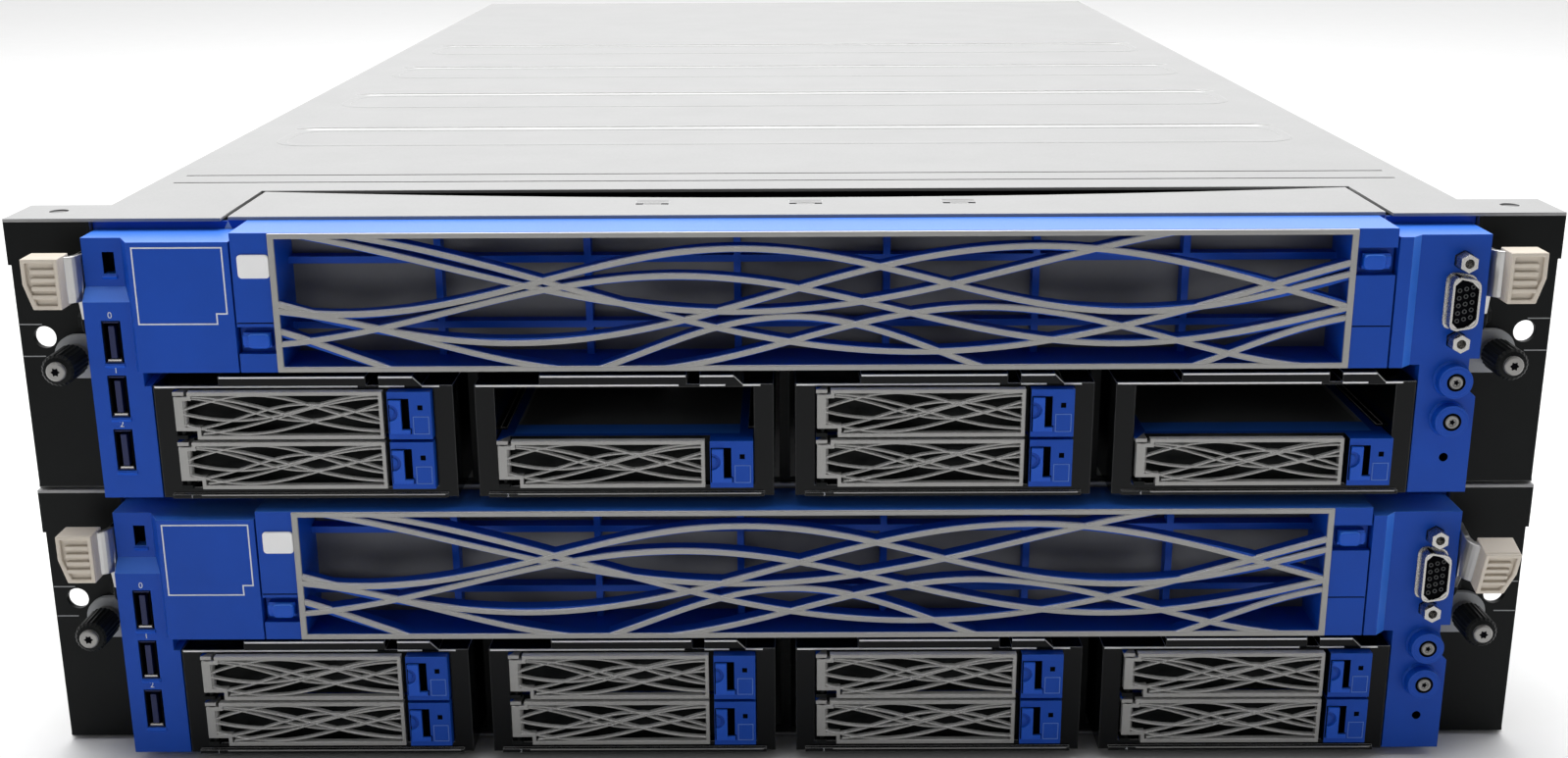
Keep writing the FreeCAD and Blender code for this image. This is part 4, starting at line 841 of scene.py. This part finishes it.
def dress_bezel(unit):
    body = f"{unit}_bezel"
    low, high = low_high(body)
    left = low.x + BEZEL_LEFT_END
    right = high.x - BEZEL_RIGHT_END
    bottom = low.z + BEZEL_BAR
    top = high.z - BEZEL_BAR
    face = low.y
    strands = Shape()
    for index, wave in enumerate(GRILLE_WAVES):
        path = wave_path(wave, left, bottom, right - left, top - bottom)
        front = face - STRAND_CAP + LEVEL_STEP * index
        strands.ribbon(path, STRAND_WIDTH / 2, STRAND_WIDTH * STRAND_CREST, face + STRAND_ROOT, front)
    overlap = STRAND_OVERLAP
    strands.trim(left - overlap, bottom - overlap, right + overlap, top + overlap)
    # Strand faces that look up take a painted highlight
    make_piece(f"{unit}_grille_strands", strands, body, [SILVER, HIGHLIGHT_FINISH], "handle_silver", crest=1)

    rim = Shape()
    rim_left = left - GRILLE_RIM
    rim_right = right + GRILLE_RIM
    outer = rectangle(rim_left, low.z + STEP, rim_right, high.z - STEP)
    window = rectangle(left, bottom, right, top)
    rim.rim(outer, window, face - STRAND_CAP - LEVEL_STEP, face + SEAT)
    # Rim faces that look up take a painted highlight
    make_piece(f"{unit}_grille_rim", rim, body, [SILVER, HIGHLIGHT_FINISH], "handle_silver", crest=1, bevel=0.3)

    plate = Shape()
    plate_left = low.x + PLATE_MARGIN
    outline = rounded(plate_left, low.z + PLATE_LOW, rim_left, low.z + PLATE_HIGH, PLATE_CORNER)
    plate.prism(outline, face - PLATE_RELIEF, face + SEAT)
    make_piece(f"{unit}_blank_plate", plate, body, [PLATE], "button_white", bevel=0.35)

    ends = ((low.x, rim_left, -1), (rim_right, high.x, 1))
    catches = Shape()
    for (inner, outer, way), height in zip(ends, CATCH_FEET):
        middle = (inner + outer) / 2
        foot = low.z + height
        start, end = sorted(middle + way * reach for reach in CATCH_HEAD)
        head = rounded(start, foot, end, foot + CATCH_HEIGHT, CATCH_CORNER)
        catches.prism(head, face - CATCH_RELIEF, face + CATCH_ROOT)
        start, end = sorted(middle + way * reach for reach in CATCH_STEM)
        stem = rectangle(start, foot + CATCH_STEP, end, foot + CATCH_HEIGHT - CATCH_STEP)
        catches.prism(stem, face + STEP, face + CATCH_ROOT)
    # Catch faces that look up take a painted highlight
    make_piece(f"{unit}_bezel_catches", catches, body, [PALE_BLUE, BLUE_HIGHLIGHT], "panel_blue", crest=1,
               bevel=0.7, segments=3)

    seams = Shape()
    for (start, end, _), height in zip(ends, BEZEL_SEAMS):
        foot = low.z + height
        groove = rectangle(start + SEAM_INSET, foot, end - SEAM_INSET, foot + LINE_WIDTH)
        seams.prism(groove, face - LINE_RELIEF, face + SEAT)
    make_piece(f"{unit}_bezel_seams", seams, body, [DARK], "panel_blue")


# Drive carriers: handle lattice, latch details and thin top

def handle_outline(width, height, post, rim):
    """Front view of a handle drawn in by its post and rim, with a step round each hinge lug."""
    foot = TOE_HEIGHT + rim
    toe = TOE_WIDTH + rim
    brow = height - BROW_HEIGHT - rim
    temple = BROW_WIDTH + rim
    return [(post, foot), (toe, foot), (toe, rim), (width - rim, rim),
            (width - rim, height - rim), (temple, height - rim), (temple, brow), (post, brow)]


def handle_mesh(width, height):
    """Handle with its lattice, from its lower front left corner."""
    shape = Shape()
    outer = handle_outline(width, height, 0, 0)
    window = handle_outline(width, height, HANDLE_POST, HANDLE_BAR)
    shape.rim(outer, window, 0, HANDLE_DEPTH)
    strands = Shape()
    low_step = (TOE_WIDTH + HANDLE_BAR, TOE_HEIGHT + HANDLE_BAR / 2)
    high_step = (BROW_WIDTH + HANDLE_BAR, height - BROW_HEIGHT - HANDLE_BAR / 2)
    for index, wave in enumerate(HANDLE_WAVES):
        path = wave_path(wave, HANDLE_POST, 0, width - HANDLE_POST, height)
        path = [(place, slope) for place, slope in path
                if (place[0] > low_step[0] or place[1] > low_step[1])
                and (place[0] > high_step[0] or place[1] < high_step[1])]
        strands.ribbon(path, WIRE / 2, WIRE * WIRE_CREST,
                       HANDLE_DEPTH * WIRE_ROOT, LEVEL_STEP * (1 + index))
    margin = LATTICE_MARGIN
    strands.trim(HANDLE_POST - margin, margin, width - margin, height - margin)
    shape.mesh.from_mesh(finish_mesh(strands, "lattice", [SILVER]))
    knuckle = disc(KNUCKLE, KNUCKLE, KNUCKLE)
    shape.prism(knuckle, TOE_HEIGHT, height - BROW_HEIGHT, view="plan")
    # Handle faces that look up take a painted highlight
    return finish_mesh(shape, "drive_handle", [SILVER, HIGHLIGHT_FINISH], 1)


def latch_mesh():
    """Slider with a thumb dent, lens and marking field, from the lower front left corner, on a dark plate of
    painted shadow round the slider.
    """
    shape = Shape()
    # A dark plate a little larger than the slider, a painted shadow in the gap round it
    shadow_gap = [(0.2, 1.7), (7.1, 1.7), (7.1, 3.6), (4.5, 3.6), (4.5, 13.1), (0.2, 13.1)]
    shape.prism(shadow_gap, -SHADOW_GAP_RELIEF, STEP, 2)
    slider = [(0.6, 2.0), (6.8, 2.0), (6.8, 3.3), (4.2, 3.3), (4.2, 12.8), (0.6, 12.8)]
    slider += arc(*DENT, DENT_RADIUS, 90, -90, DENT_STEPS)
    shape.prism(slider, -SLIDER_RELIEF, SEAT)
    # The thumb dent and its stud are in the darker blue, a painted shade
    for radius, relief in ((DENT_RADIUS, STEP), (DENT_STUD, STUD_RELIEF)):
        shape.prism(arc(*DENT, radius, -90, 90, DENT_STEPS), -relief, SEAT, 1)
    shape.rim(rectangle(*FIELD), rectangle(*FIELD_INSIDE), -FIELD_RELIEF, STEP, 3)
    shape.prism(rectangle(*LENS), *LENS_DEPTHS, 2)
    return finish_mesh(shape, "drive_latch", [PALE_BLUE, BLUE, DARK, PRINT])


def deck_mesh(width):
    """Thin top of a carrier in lighter blue, a painted highlight, from the carrier's upper left edge."""
    shape = Shape()
    outline = rectangle(DECK_SIDE, DECK_START, width - DECK_SIDE, DECK_END)
    shape.prism(outline, -DECK_THICKNESS - DECK_SINK, -DECK_SINK, view="plan")
    return finish_mesh(shape, "drive_deck", [BLUE_HIGHLIGHT])


def dress_drives():
    low, high = low_high("lower_handle_1_bottom")
    lattice = handle_mesh(high.x - low.x - LATTICE_GAP, high.z - low.z)
    latch = latch_mesh()
    low, high = low_high("lower_drive_1_bottom")
    deck = deck_mesh(high.x - low.x)
    bays = [f"{number}_{bay}" for number in MODULES for bay in BAYS]
    for unit in UNITS:
        for bay in bays:
            drive = f"{unit}_drive_{bay}"
            handle = f"{unit}_handle_{bay}"
            if drive not in frame["nodes"]:
                continue
            paint_drive(drive)
            piece = place_piece(f"{handle}_lattice", lattice, handle, "handle_silver", bevel=0.12,
                                at=low_high(handle)[0])
            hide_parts(handle)
            low, high = low_high(drive)
            place_piece(f"{drive}_latch", latch, drive, "drive_black", bevel=0.12,
                        at=(high.x - LATCH_WIDTH, low.y, low.z))
            place_piece(f"{drive}_deck", deck, drive, "drive_black", bevel=0.2, at=(low.x, 0, high.z))


# Fan modules: plain numbers on the lip and bright strips of painted highlight along the front edges

def dress_modules(unit):
    for number in MODULES:
        body = f"{unit}_fan_module_{number}"
        low, high = low_high(body)
        across, up = DIGIT_PLACE
        place = (low.x + across, low.y - INK_RELIEF, low.z + up)
        numeral(f"{body}_number", number, MODULE_DIGIT, place, body)
        face = low.y + LIP_REACH
        roof = high.z - RELEASE_HEIGHT
        bar = low.x + RELEASE_START
        bar_end = bar + RELEASE_LENGTH
        lever = bar_end + RELEASE_GAP
        lever_end = lever + RELEASE_LEVER
        slope_end = lever_end + RELEASE_HEIGHT
        # Bright strips along the top front edges and the lip, a painted highlight
        highlight_strips = Shape()
        for start, end, level in ((low.x + MODULE_START, bar, roof),
                                  (bar + HIGHLIGHT_STRIP_INSET, bar_end - HIGHLIGHT_STRIP_INSET, high.z),
                                  (bar, bar_end - SHORTFALL, roof),
                                  (lever, lever_end, high.z),
                                  (lever, lever_end - SHORTFALL, roof),
                                  (slope_end, high.x - MODULE_END, roof)):
            highlight_strip = rectangle(start, level - HIGHLIGHT_STRIP_HEIGHT - STEP, end, level - STEP)
            highlight_strips.prism(highlight_strip, face - STEP, face + SEAT, 1)
        lip = low.z + LIP_HEIGHT - STEP
        lip_highlight = rectangle(low.x + LIP_HIGHLIGHT_START, lip - LINE_WIDTH, high.x - MODULE_END, lip)
        highlight_strips.prism(lip_highlight, low.y - STEP, low.y + SEAT)
        slope_high = high.z - STEP
        slope_low = roof - STEP
        slope = [(lever_end, slope_high), (lever_end, slope_high - LINE_WIDTH),
                 (slope_end, slope_low - LINE_WIDTH), (slope_end, slope_low)]
        highlight_strips.prism(slope, face - STEP, face + SEAT)
        make_piece(f"{body}_painted_edge_highlights", highlight_strips, body, [SILVER, HIGHLIGHT_FINISH], "module_black", crest=1)


# Control panels

def label_outline(base, margin):
    """Label field with a step in its lower right corner, drawn in by a margin."""
    left, low, right, high = LABEL_BOX
    left += margin
    right -= margin
    low += base + margin
    high += base - margin
    step = LABEL_NICK
    return [(left, low), (right - step, low), (right - step, low + step), (right, low + step),
            (right, high), (left, high)]


def dress_left_panel(unit):
    body = f"{unit}_blade"
    base = LIFT[unit]
    sills = Shape()
    openings = [(level - USB_HEIGHT / 2, USB_WIDTH, COLUMN_FRONT) for level in USB_HEIGHTS]
    for height, width, front in openings + [(SLOT_LOW, SLOT_WIDTH, LEDGE_FRONT)]:
        ledge = stepped(front, base + height, SILL_PROFILE)
        half = width / 2 + SILL_MARGIN
        sills.prism(ledge, -SOCKET_AXIS - half, -SOCKET_AXIS + half, view="side")
    for height, _, front in openings:
        tread = stepped(-SOCKET_AXIS, base + height, rectangle(*TREAD))
        sills.prism(tread, front + STEP, front + TREAD_DEPTH, 1)
    make_piece(f"{unit}_socket_sills", sills, body, [PALE_BLUE, BRIGHT], "panel_blue", bevel=0.1)
    for index, level in enumerate(reversed(USB_HEIGHTS)):
        place = (-SOCKET_AXIS, COLUMN_FRONT - INK_RELIEF, base + level + DIGIT_LIFT)
        numeral(f"{unit}_socket_number_{index}", index, SOCKET_DIGIT, place, body)

    outline = Shape()
    outline.rim(label_outline(base, 0), label_outline(base, LABEL_LINE),
                LABEL_FRONT - LABEL_RELIEF, LABEL_FRONT + STEP)
    make_piece(f"{unit}_label_outline", outline, body, [INK], "button_white")


def video_outline(base, margin):
    """Tapered outline of the video shell, wider by a margin."""
    half = VIDEO_WIDTH / 2 + margin
    long = VIDEO_LONG / 2 + margin
    short = VIDEO_SHORT / 2 + margin
    middle = base + VIDEO_HEIGHT
    corners = [(SOCKET_AXIS - half, middle - long), (SOCKET_AXIS + half, middle - short),
               (SOCKET_AXIS + half, middle + short), (SOCKET_AXIS - half, middle + long)]
    return soft_corners(corners, VIDEO_CORNER + margin)


def dress_right_panel(unit):
    body = f"{unit}_blade"
    base = LIFT[unit]
    for name in ("power", "locate"):
        node = f"{unit}_{name}_button"
        low, high = low_high(node)
        axis = ((low.x + high.x) / 2, (low.z + high.z) / 2)
        radius = (high.x - low.x) / 2
        boss = Shape()
        profile = stepped(0, BOSS_FRONT, BOSS_FACE) + stepped(0, RIGHT_FRONT, BOSS_FOOT)
        boss.lathe(axis, profile, ring=True)
        # A dark ring in the well round the button, a painted shade
        boss.lathe(axis, stepped(radius, BOSS_FRONT, WELL), paint=1, ring=True)
        make_piece(f"{unit}_{name}_boss", boss, body, [BLUE, DARK], "panel_blue")
        button = Shape()
        button.lathe(axis, [(radius, high.y)] + stepped(radius, low.y, CAP))
        # A dark disc in the cap's recess, a painted shade
        recess = disc(*axis, radius - CAP_RECESS, 10, CAP_RIPPLE)
        button.prism(recess, low.y + 0.3, low.y + 0.6, 1)
        piece = make_piece(f"{node}_cap", button, node, [DULL, DARK], "button_white")
        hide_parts(node)

    shell = Shape()
    outer = video_outline(base, VIDEO_SKIN)
    core = video_outline(base, VIDEO_CORE)
    wall = video_outline(base, -VIDEO_WALL)
    flange = video_outline(base, VIDEO_LIP)
    foot = RIGHT_FRONT + SEAT
    shell.rim(outer, wall, VIDEO_INSERT - VIDEO_LIP, VIDEO_INSERT + STEP)
    shell.rim(outer, core, VIDEO_INSERT, foot)
    shell.rim(flange, core, RIGHT_FRONT - FLANGE_RELIEF, foot)
    make_piece(f"{unit}_video_shell", shell, body, [BRIGHT], "screw_steel", bevel=0.15)

    holes = Shape()
    across, along = CONTACT_PITCH
    for row in range(CONTACT_ROWS):
        side = row - (CONTACT_ROWS - 1) / 2
        for column in range(CONTACT_COLUMNS):
            up = (column - (CONTACT_COLUMNS - 1) / 2) * along + side * CONTACT_SHEAR
            middle = (SOCKET_AXIS + side * across, base + VIDEO_HEIGHT + up)
            holes.lathe(middle, stepped(0, VIDEO_INSERT, CONTACT), 12, ring=True)
    make_piece(f"{unit}_video_contacts", holes, body, [CHIP], "screw_steel")


def dress_thumbscrews(unit):
    for side in SIDES:
        node = f"{unit}_{side}_thumbscrew"
        low, high = low_high(node)
        axis = ((low.x + high.x) / 2, (low.z + high.z) / 2)
        knob = (high.x - low.x) / 2
        front = low.y
        shape = Shape()
        profile = stepped(knob, front, KNOB_NOSE) + stepped(knob, KNOB_SEAT, KNOB_TAIL)
        shape.lathe(axis, profile, KNOB_TEETH, 0, KNOB_RIPPLE)
        shape.lathe(axis, stepped(knob, KNOB_SEAT, COLLAR), 32, 1)
        shape.lathe(axis, stepped(0, front, SCREW_HEAD), 32, 1)
        # A dark star in the screw head's recess, a painted shade
        recess = disc(*axis, HEAD_RECESS, STAR_POINTS, STAR_RIPPLE)
        shape.prism(recess, front - 0.02, front + 0.5, 2)
        thread = [(THREAD_RADIUS - THREAD_DEPTH * (step % 2), KNOB_SEAT + THREAD_STEP * step)
                  for step in range(THREAD_STEPS)]
        shape.lathe(axis, thread, 24, 1)
        piece = make_piece(f"{node}_turned", shape, node, [BLACK, DULL, DARK], "screw_steel")
        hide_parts(node)


# Ejector levers: bent steel arm and ribbed grip, drawn upright on the right-hand side

def grip_outline(inner, low, outer, high, margin):
    """Front view of a grip, whose outer edge leans in towards its lower end."""
    middle = (low + high) / 2
    start = inner + margin
    end = outer - margin
    foot = low + margin
    head = high - margin
    return [(start, foot), (outer - GRIP_SLANT - margin, foot), (end, middle), (end, head), (start, head)]


def lever_shape(near, outer, low, high, front, pivot):
    """Right-hand lever: eye, arm with a rolled bend, and grooved grip."""
    shape = Shape()
    far = near + LEVER_PLATE
    foot = low + LEVER_MARGIN
    head = high - LEVER_MARGIN
    arm = arc(*pivot, EYE_RADIUS, 180, 360, EYE_STEPS)
    arm += [(pivot[0] + EYE_RADIUS, high - ARM_SHOULDER), (pivot[0] + ARM_NECK, head),
            (front + ARM_TIP_HIGH, head), (front + ARM_TIP_LOW, foot)]
    shape.prism(arm, near + LEVER_GAP, far - LEVER_GAP, view="side")
    pin = [(PIVOT_RADIUS, near - STEP), (PIVOT_RADIUS, far + STEP), (PIVOT_NOSE, far + PIVOT_CREST)]
    shape.lathe(pivot, pin, 28, 2, view="side")
    flange = front + FLANGE_DEPTH
    half = LEVER_PLATE / 2
    corner = (near + half + LEVER_BEND, flange + half + LEVER_BEND)
    tail = corner[1] + FLANGE_TAIL
    tip = outer - FLANGE_MARGIN
    sheet = [(near, tail)] + arc(*corner, LEVER_BEND + half, 180, 270) + [(tip, flange)]
    sheet += [(tip, flange + LEVER_PLATE)] + arc(*corner, LEVER_BEND - half, 270, 180) + [(far, tail)]
    shape.prism(sheet, foot, head, view="plan")

    inner = outer - GRIP_WIDTH
    floor = front + GRIP_GROOVE
    outline = grip_outline(inner, low, outer, high, 0)
    shape.prism(outline, floor, front + GRIP_DEPTH, 1)
    shape.rim(outline, grip_outline(inner, low, outer, high, GRIP_EDGE), front, floor, 1)
    pitch = (high - low) / (GRIP_GROOVES + 1)
    rib_start = inner + GRIP_EDGE - SEAT
    rib_end = outer - GRIP_EDGE - GRIP_SLANT / 2
    for index in range(GRIP_GROOVES - 1):
        rib_low = low + pitch * (index + 1) + GRIP_GROOVE / 2
        rib = rectangle(rib_start, rib_low, rib_end, rib_low + pitch - GRIP_GROOVE)
        shape.prism(rib, front + STEP, floor, 1)
    return shape


def dress_levers(unit):
    low, high = low_high(f"{unit}_left_lever")
    near = -high.x
    outer = -low.x
    hinges = [joint for joint in frame["record"]["behaviour"]["joints"] if joint["type"] == "hinge"]
    pivots = {joint["child"]: Vector(joint["pos_m"]) / MM for joint in hinges}
    for side, sign in SIDES.items():
        node = f"{unit}_{side}_lever"
        pivot = pivots[node]
        shape = lever_shape(near, outer, high.z - LEVER_HEIGHT, high.z, low.y, (pivot.y, pivot.z))
        if sign < 0:
            shape.move(Matrix.Scale(-1, 4, (1, 0, 0)))
        if (unit, side) == ("lower", "right"):
            there = Matrix.Translation(pivot * MM)
            shape.move(there @ turned(PHOTO_TILT, "X") @ there.inverted())
        piece = make_piece(f"{node}_formed", shape, node, [ARM, CREAM, BLACK], "lever_cream", bevel=0.35,
                           segments=3)
        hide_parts(node)


# Rear and sides of the enclosures

def drive_screw(shape, view, middle, level, out):
    """A low screw head with a star recess in painted shade, on a face that looks along out."""
    profile = [(radius, level + rise * out) for radius, rise in CASE_SCREW]
    shape.lathe(middle, profile, 24, view=view)
    # The star recess is dark, a painted shade
    recess = disc(*middle, SCREW_RECESS, STAR_POINTS, STAR_RIPPLE)
    shape.prism(recess, level + 0.55 * out, level + 0.78 * out, 1, view)


def dress_enclosure(unit):
    """Screws, grey lines of painted highlight along the creases of the ears, and trims of the power supplies.
    """
    base = LIFT[unit]
    rear = low_high("enclosure_trays")[1].y
    screws = Shape()
    for sign in SIDES.values():
        for height in SCREW_HEIGHTS:
            for depth in SCREW_DEPTHS:
                drive_screw(screws, "side", (depth, base + height), sign * CHASSIS_HALF, sign)
            corner = (sign * (CHASSIS_HALF - SCREW_INSET), base + height)
            drive_screw(screws, "front", corner, rear, 1)
    make_piece(f"{unit}_case_screws", screws, "rack_frame", [BRIGHT, DARK], "screw_steel")

    # Grey lines on the black ears at the creases, a painted highlight
    crease_highlights = Shape()
    face = low_high("rack_ears")[0].y
    for sign in SIDES.values():
        start, end = sorted(sign * reach for reach in CREASE_ENDS)
        for height in CREASE_HEIGHTS:
            line = rectangle(start, base + height, end, base + height + LINE_WIDTH)
            crease_highlights.prism(line, face - LINE_RELIEF, face + STEP)
    make_piece(f"{unit}_ear_crease_highlights", crease_highlights, "rack_frame", [GREY_TAB], "ear_black")

    trims = Shape()
    supplies = low_high("power_supplies")[0].x
    for index in range(SUPPLY_COUNT):
        left = supplies + index * SUPPLY_PITCH
        screen = stepped(left, base, rectangle(*SUPPLY_SCREEN))
        trims.prism(screen, rear - STEP, rear + SUPPLY_RELIEF)
        lamp = (left + SUPPLY_LAMP[0], base + SUPPLY_LAMP[1])
        trims.lathe(lamp, stepped(0, rear, LAMP_STEPS), 20, 1)
        for across, up in INLET_PINS:
            pin = stepped(left + across, base + up, rectangle(*INLET_PIN))
            trims.prism(pin, rear - 15.9, rear - 3.5, 2)
    make_piece(f"{unit}_supply_trims", trims, "rack_frame", [SCREEN, LAMP, BRIGHT], "supply_grey",
               bevel=0.15)


def dress_cover():
    """Upper cover: outline of the pressing before each rib, and a dark block of painted shade behind the
    notch.
    """
    top = low_high("top_covers")[1].z
    shape = Shape()
    edge = PRESSING_EDGE
    for index in range(RIB_COUNT):
        rear = RIB_FIRST + index * RIB_PITCH
        front = rear - PRESSING_WIDTH
        outer = rounded(-RIB_TIP, front, RIB_TIP, rear, PRESSING_CORNER)
        inner = rounded(edge - RIB_TIP, front + edge, RIB_TIP - edge, rear - edge, PRESSING_CORNER - edge)
        shape.rim(outer, inner, top - SEAT, top + STEP, view="plan")
    make_piece("cover_pressings", shape, "rack_frame", [COVER], "enclosure_steel", bevel=0.1)

    # A dark block behind the notch, a painted shade
    notch_shade = Shape()
    notch_shade.prism(rectangle(*NOTCH_SHADE), top - NOTCH_SHADE_DROP, top - NOTCH_SHADE_TOP, view="plan")
    make_piece("cover_notch_painted_shade", notch_shade, "rack_frame", [DARK], "ear_black", bevel=0.3)


def dress_plate(unit):
    """Infill of the vents in the front plate, down to two short slots each, whose dark floors are a painted
    shade.
    """
    top = low_high(f"{unit}_blade_tray")[1].z
    floor = top - VENT_DEPTH
    shape = Shape()
    half = VENT_LENGTH / 2
    bridge = half - VENT_SLOT
    row_end = VENT_FRONT + VENT_WIDTH
    rear = VENT_FRONT + 2 * VENT_WIDTH
    for index in (-1, 0, 1):
        middle = VENT_MIDDLE + index * VENT_PITCH
        infill = rectangle(middle - half, rear, middle + half, rear + VENT_WIDTH)
        shape.prism(infill, floor, top, view="plan")
        shape.prism(rectangle(middle - bridge, VENT_FRONT, middle + bridge, row_end), floor, top, view="plan")
        # Dark floors just under the plate in each slot, a painted shade
        for left in (middle - half, middle + bridge):
            slot = rectangle(left, VENT_FRONT, left + half - bridge, row_end)
            shape.prism(slot, floor, top - SLOT_SINK, 1, view="plan")
    make_piece(f"{unit}_plate_infill", shape, f"{unit}_blade", [COVER, DARK], "blade_steel")


# Camera, floor and light

def place_camera():
    lens = bpy.data.cameras.new("photo_camera")
    lens.sensor_width = SENSOR_WIDTH
    lens.lens = PHOTO_FOCAL / PHOTO_WIDTH * SENSOR_WIDTH
    camera = bpy.data.objects.new("photo_camera", lens)
    scene.collection.objects.link(camera)
    turn = turned(-CAMERA_YAW, "Z") @ turned(90 - CAMERA_PITCH, "X") @ turned(CAMERA_ROLL, "Z")
    camera.matrix_world = Matrix.Translation(Vector(CAMERA_PLACE) * MM) @ turn
    scene.camera = camera


def lay_floor():
    floor = Shape()
    outline = rectangle(-FLOOR_HALF, -FLOOR_HALF, FLOOR_HALF, FLOOR_HALF)
    floor.prism(outline, FLOOR_LOW, FLOOR_TOP, view="plan")
    pale = surface("pale_floor", (0.80, 0.80, 0.80), 0.01, 0.7, relief=0.0)
    ground = bpy.data.objects.new("floor", finish_mesh(floor, "floor", [pale]))
    scene.collection.objects.link(ground)


def hang_lights():
    """Surroundings, white behind and dim in front, a softbox above and two fills."""
    scene.view_settings.view_transform = "Standard"
    world = bpy.data.worlds.new("studio")
    world.use_nodes = True
    tree = world.node_tree
    background = tree.nodes["Background"]
    background.inputs["Color"].default_value = (1, 1, 1, 1)
    heading = add_node(tree, "TexCoord", {}).outputs["Generated"]
    parts = add_node(tree, "SeparateXYZ", {"Vector": heading})
    fade = add_node(tree, "MapRange", {"Value": parts.outputs["Y"]}, **WORLD_FADE)
    tree.links.new(fade.outputs["Result"], background.inputs["Strength"])
    scene.world = world
    for name, place, aim, width, power in LIGHTS:
        light = bpy.data.lights.new(name, "AREA")
        light.size = width
        light.energy = power
        lamp = bpy.data.objects.new(name, light)
        lamp.location = place
        lamp.rotation_euler = (Vector(aim) - Vector(place)).to_track_quat("-Z", "Y").to_euler()
        scene.collection.objects.link(lamp)


paint_solids()
dress_drives()
for unit in UNITS:
    dress_bezel(unit)
    dress_modules(unit)
    dress_left_panel(unit)
    dress_right_panel(unit)
    dress_thumbscrews(unit)
    dress_levers(unit)
    dress_enclosure(unit)
    dress_plate(unit)
dress_cover()
place_camera()
lay_floor()
hang_lights()
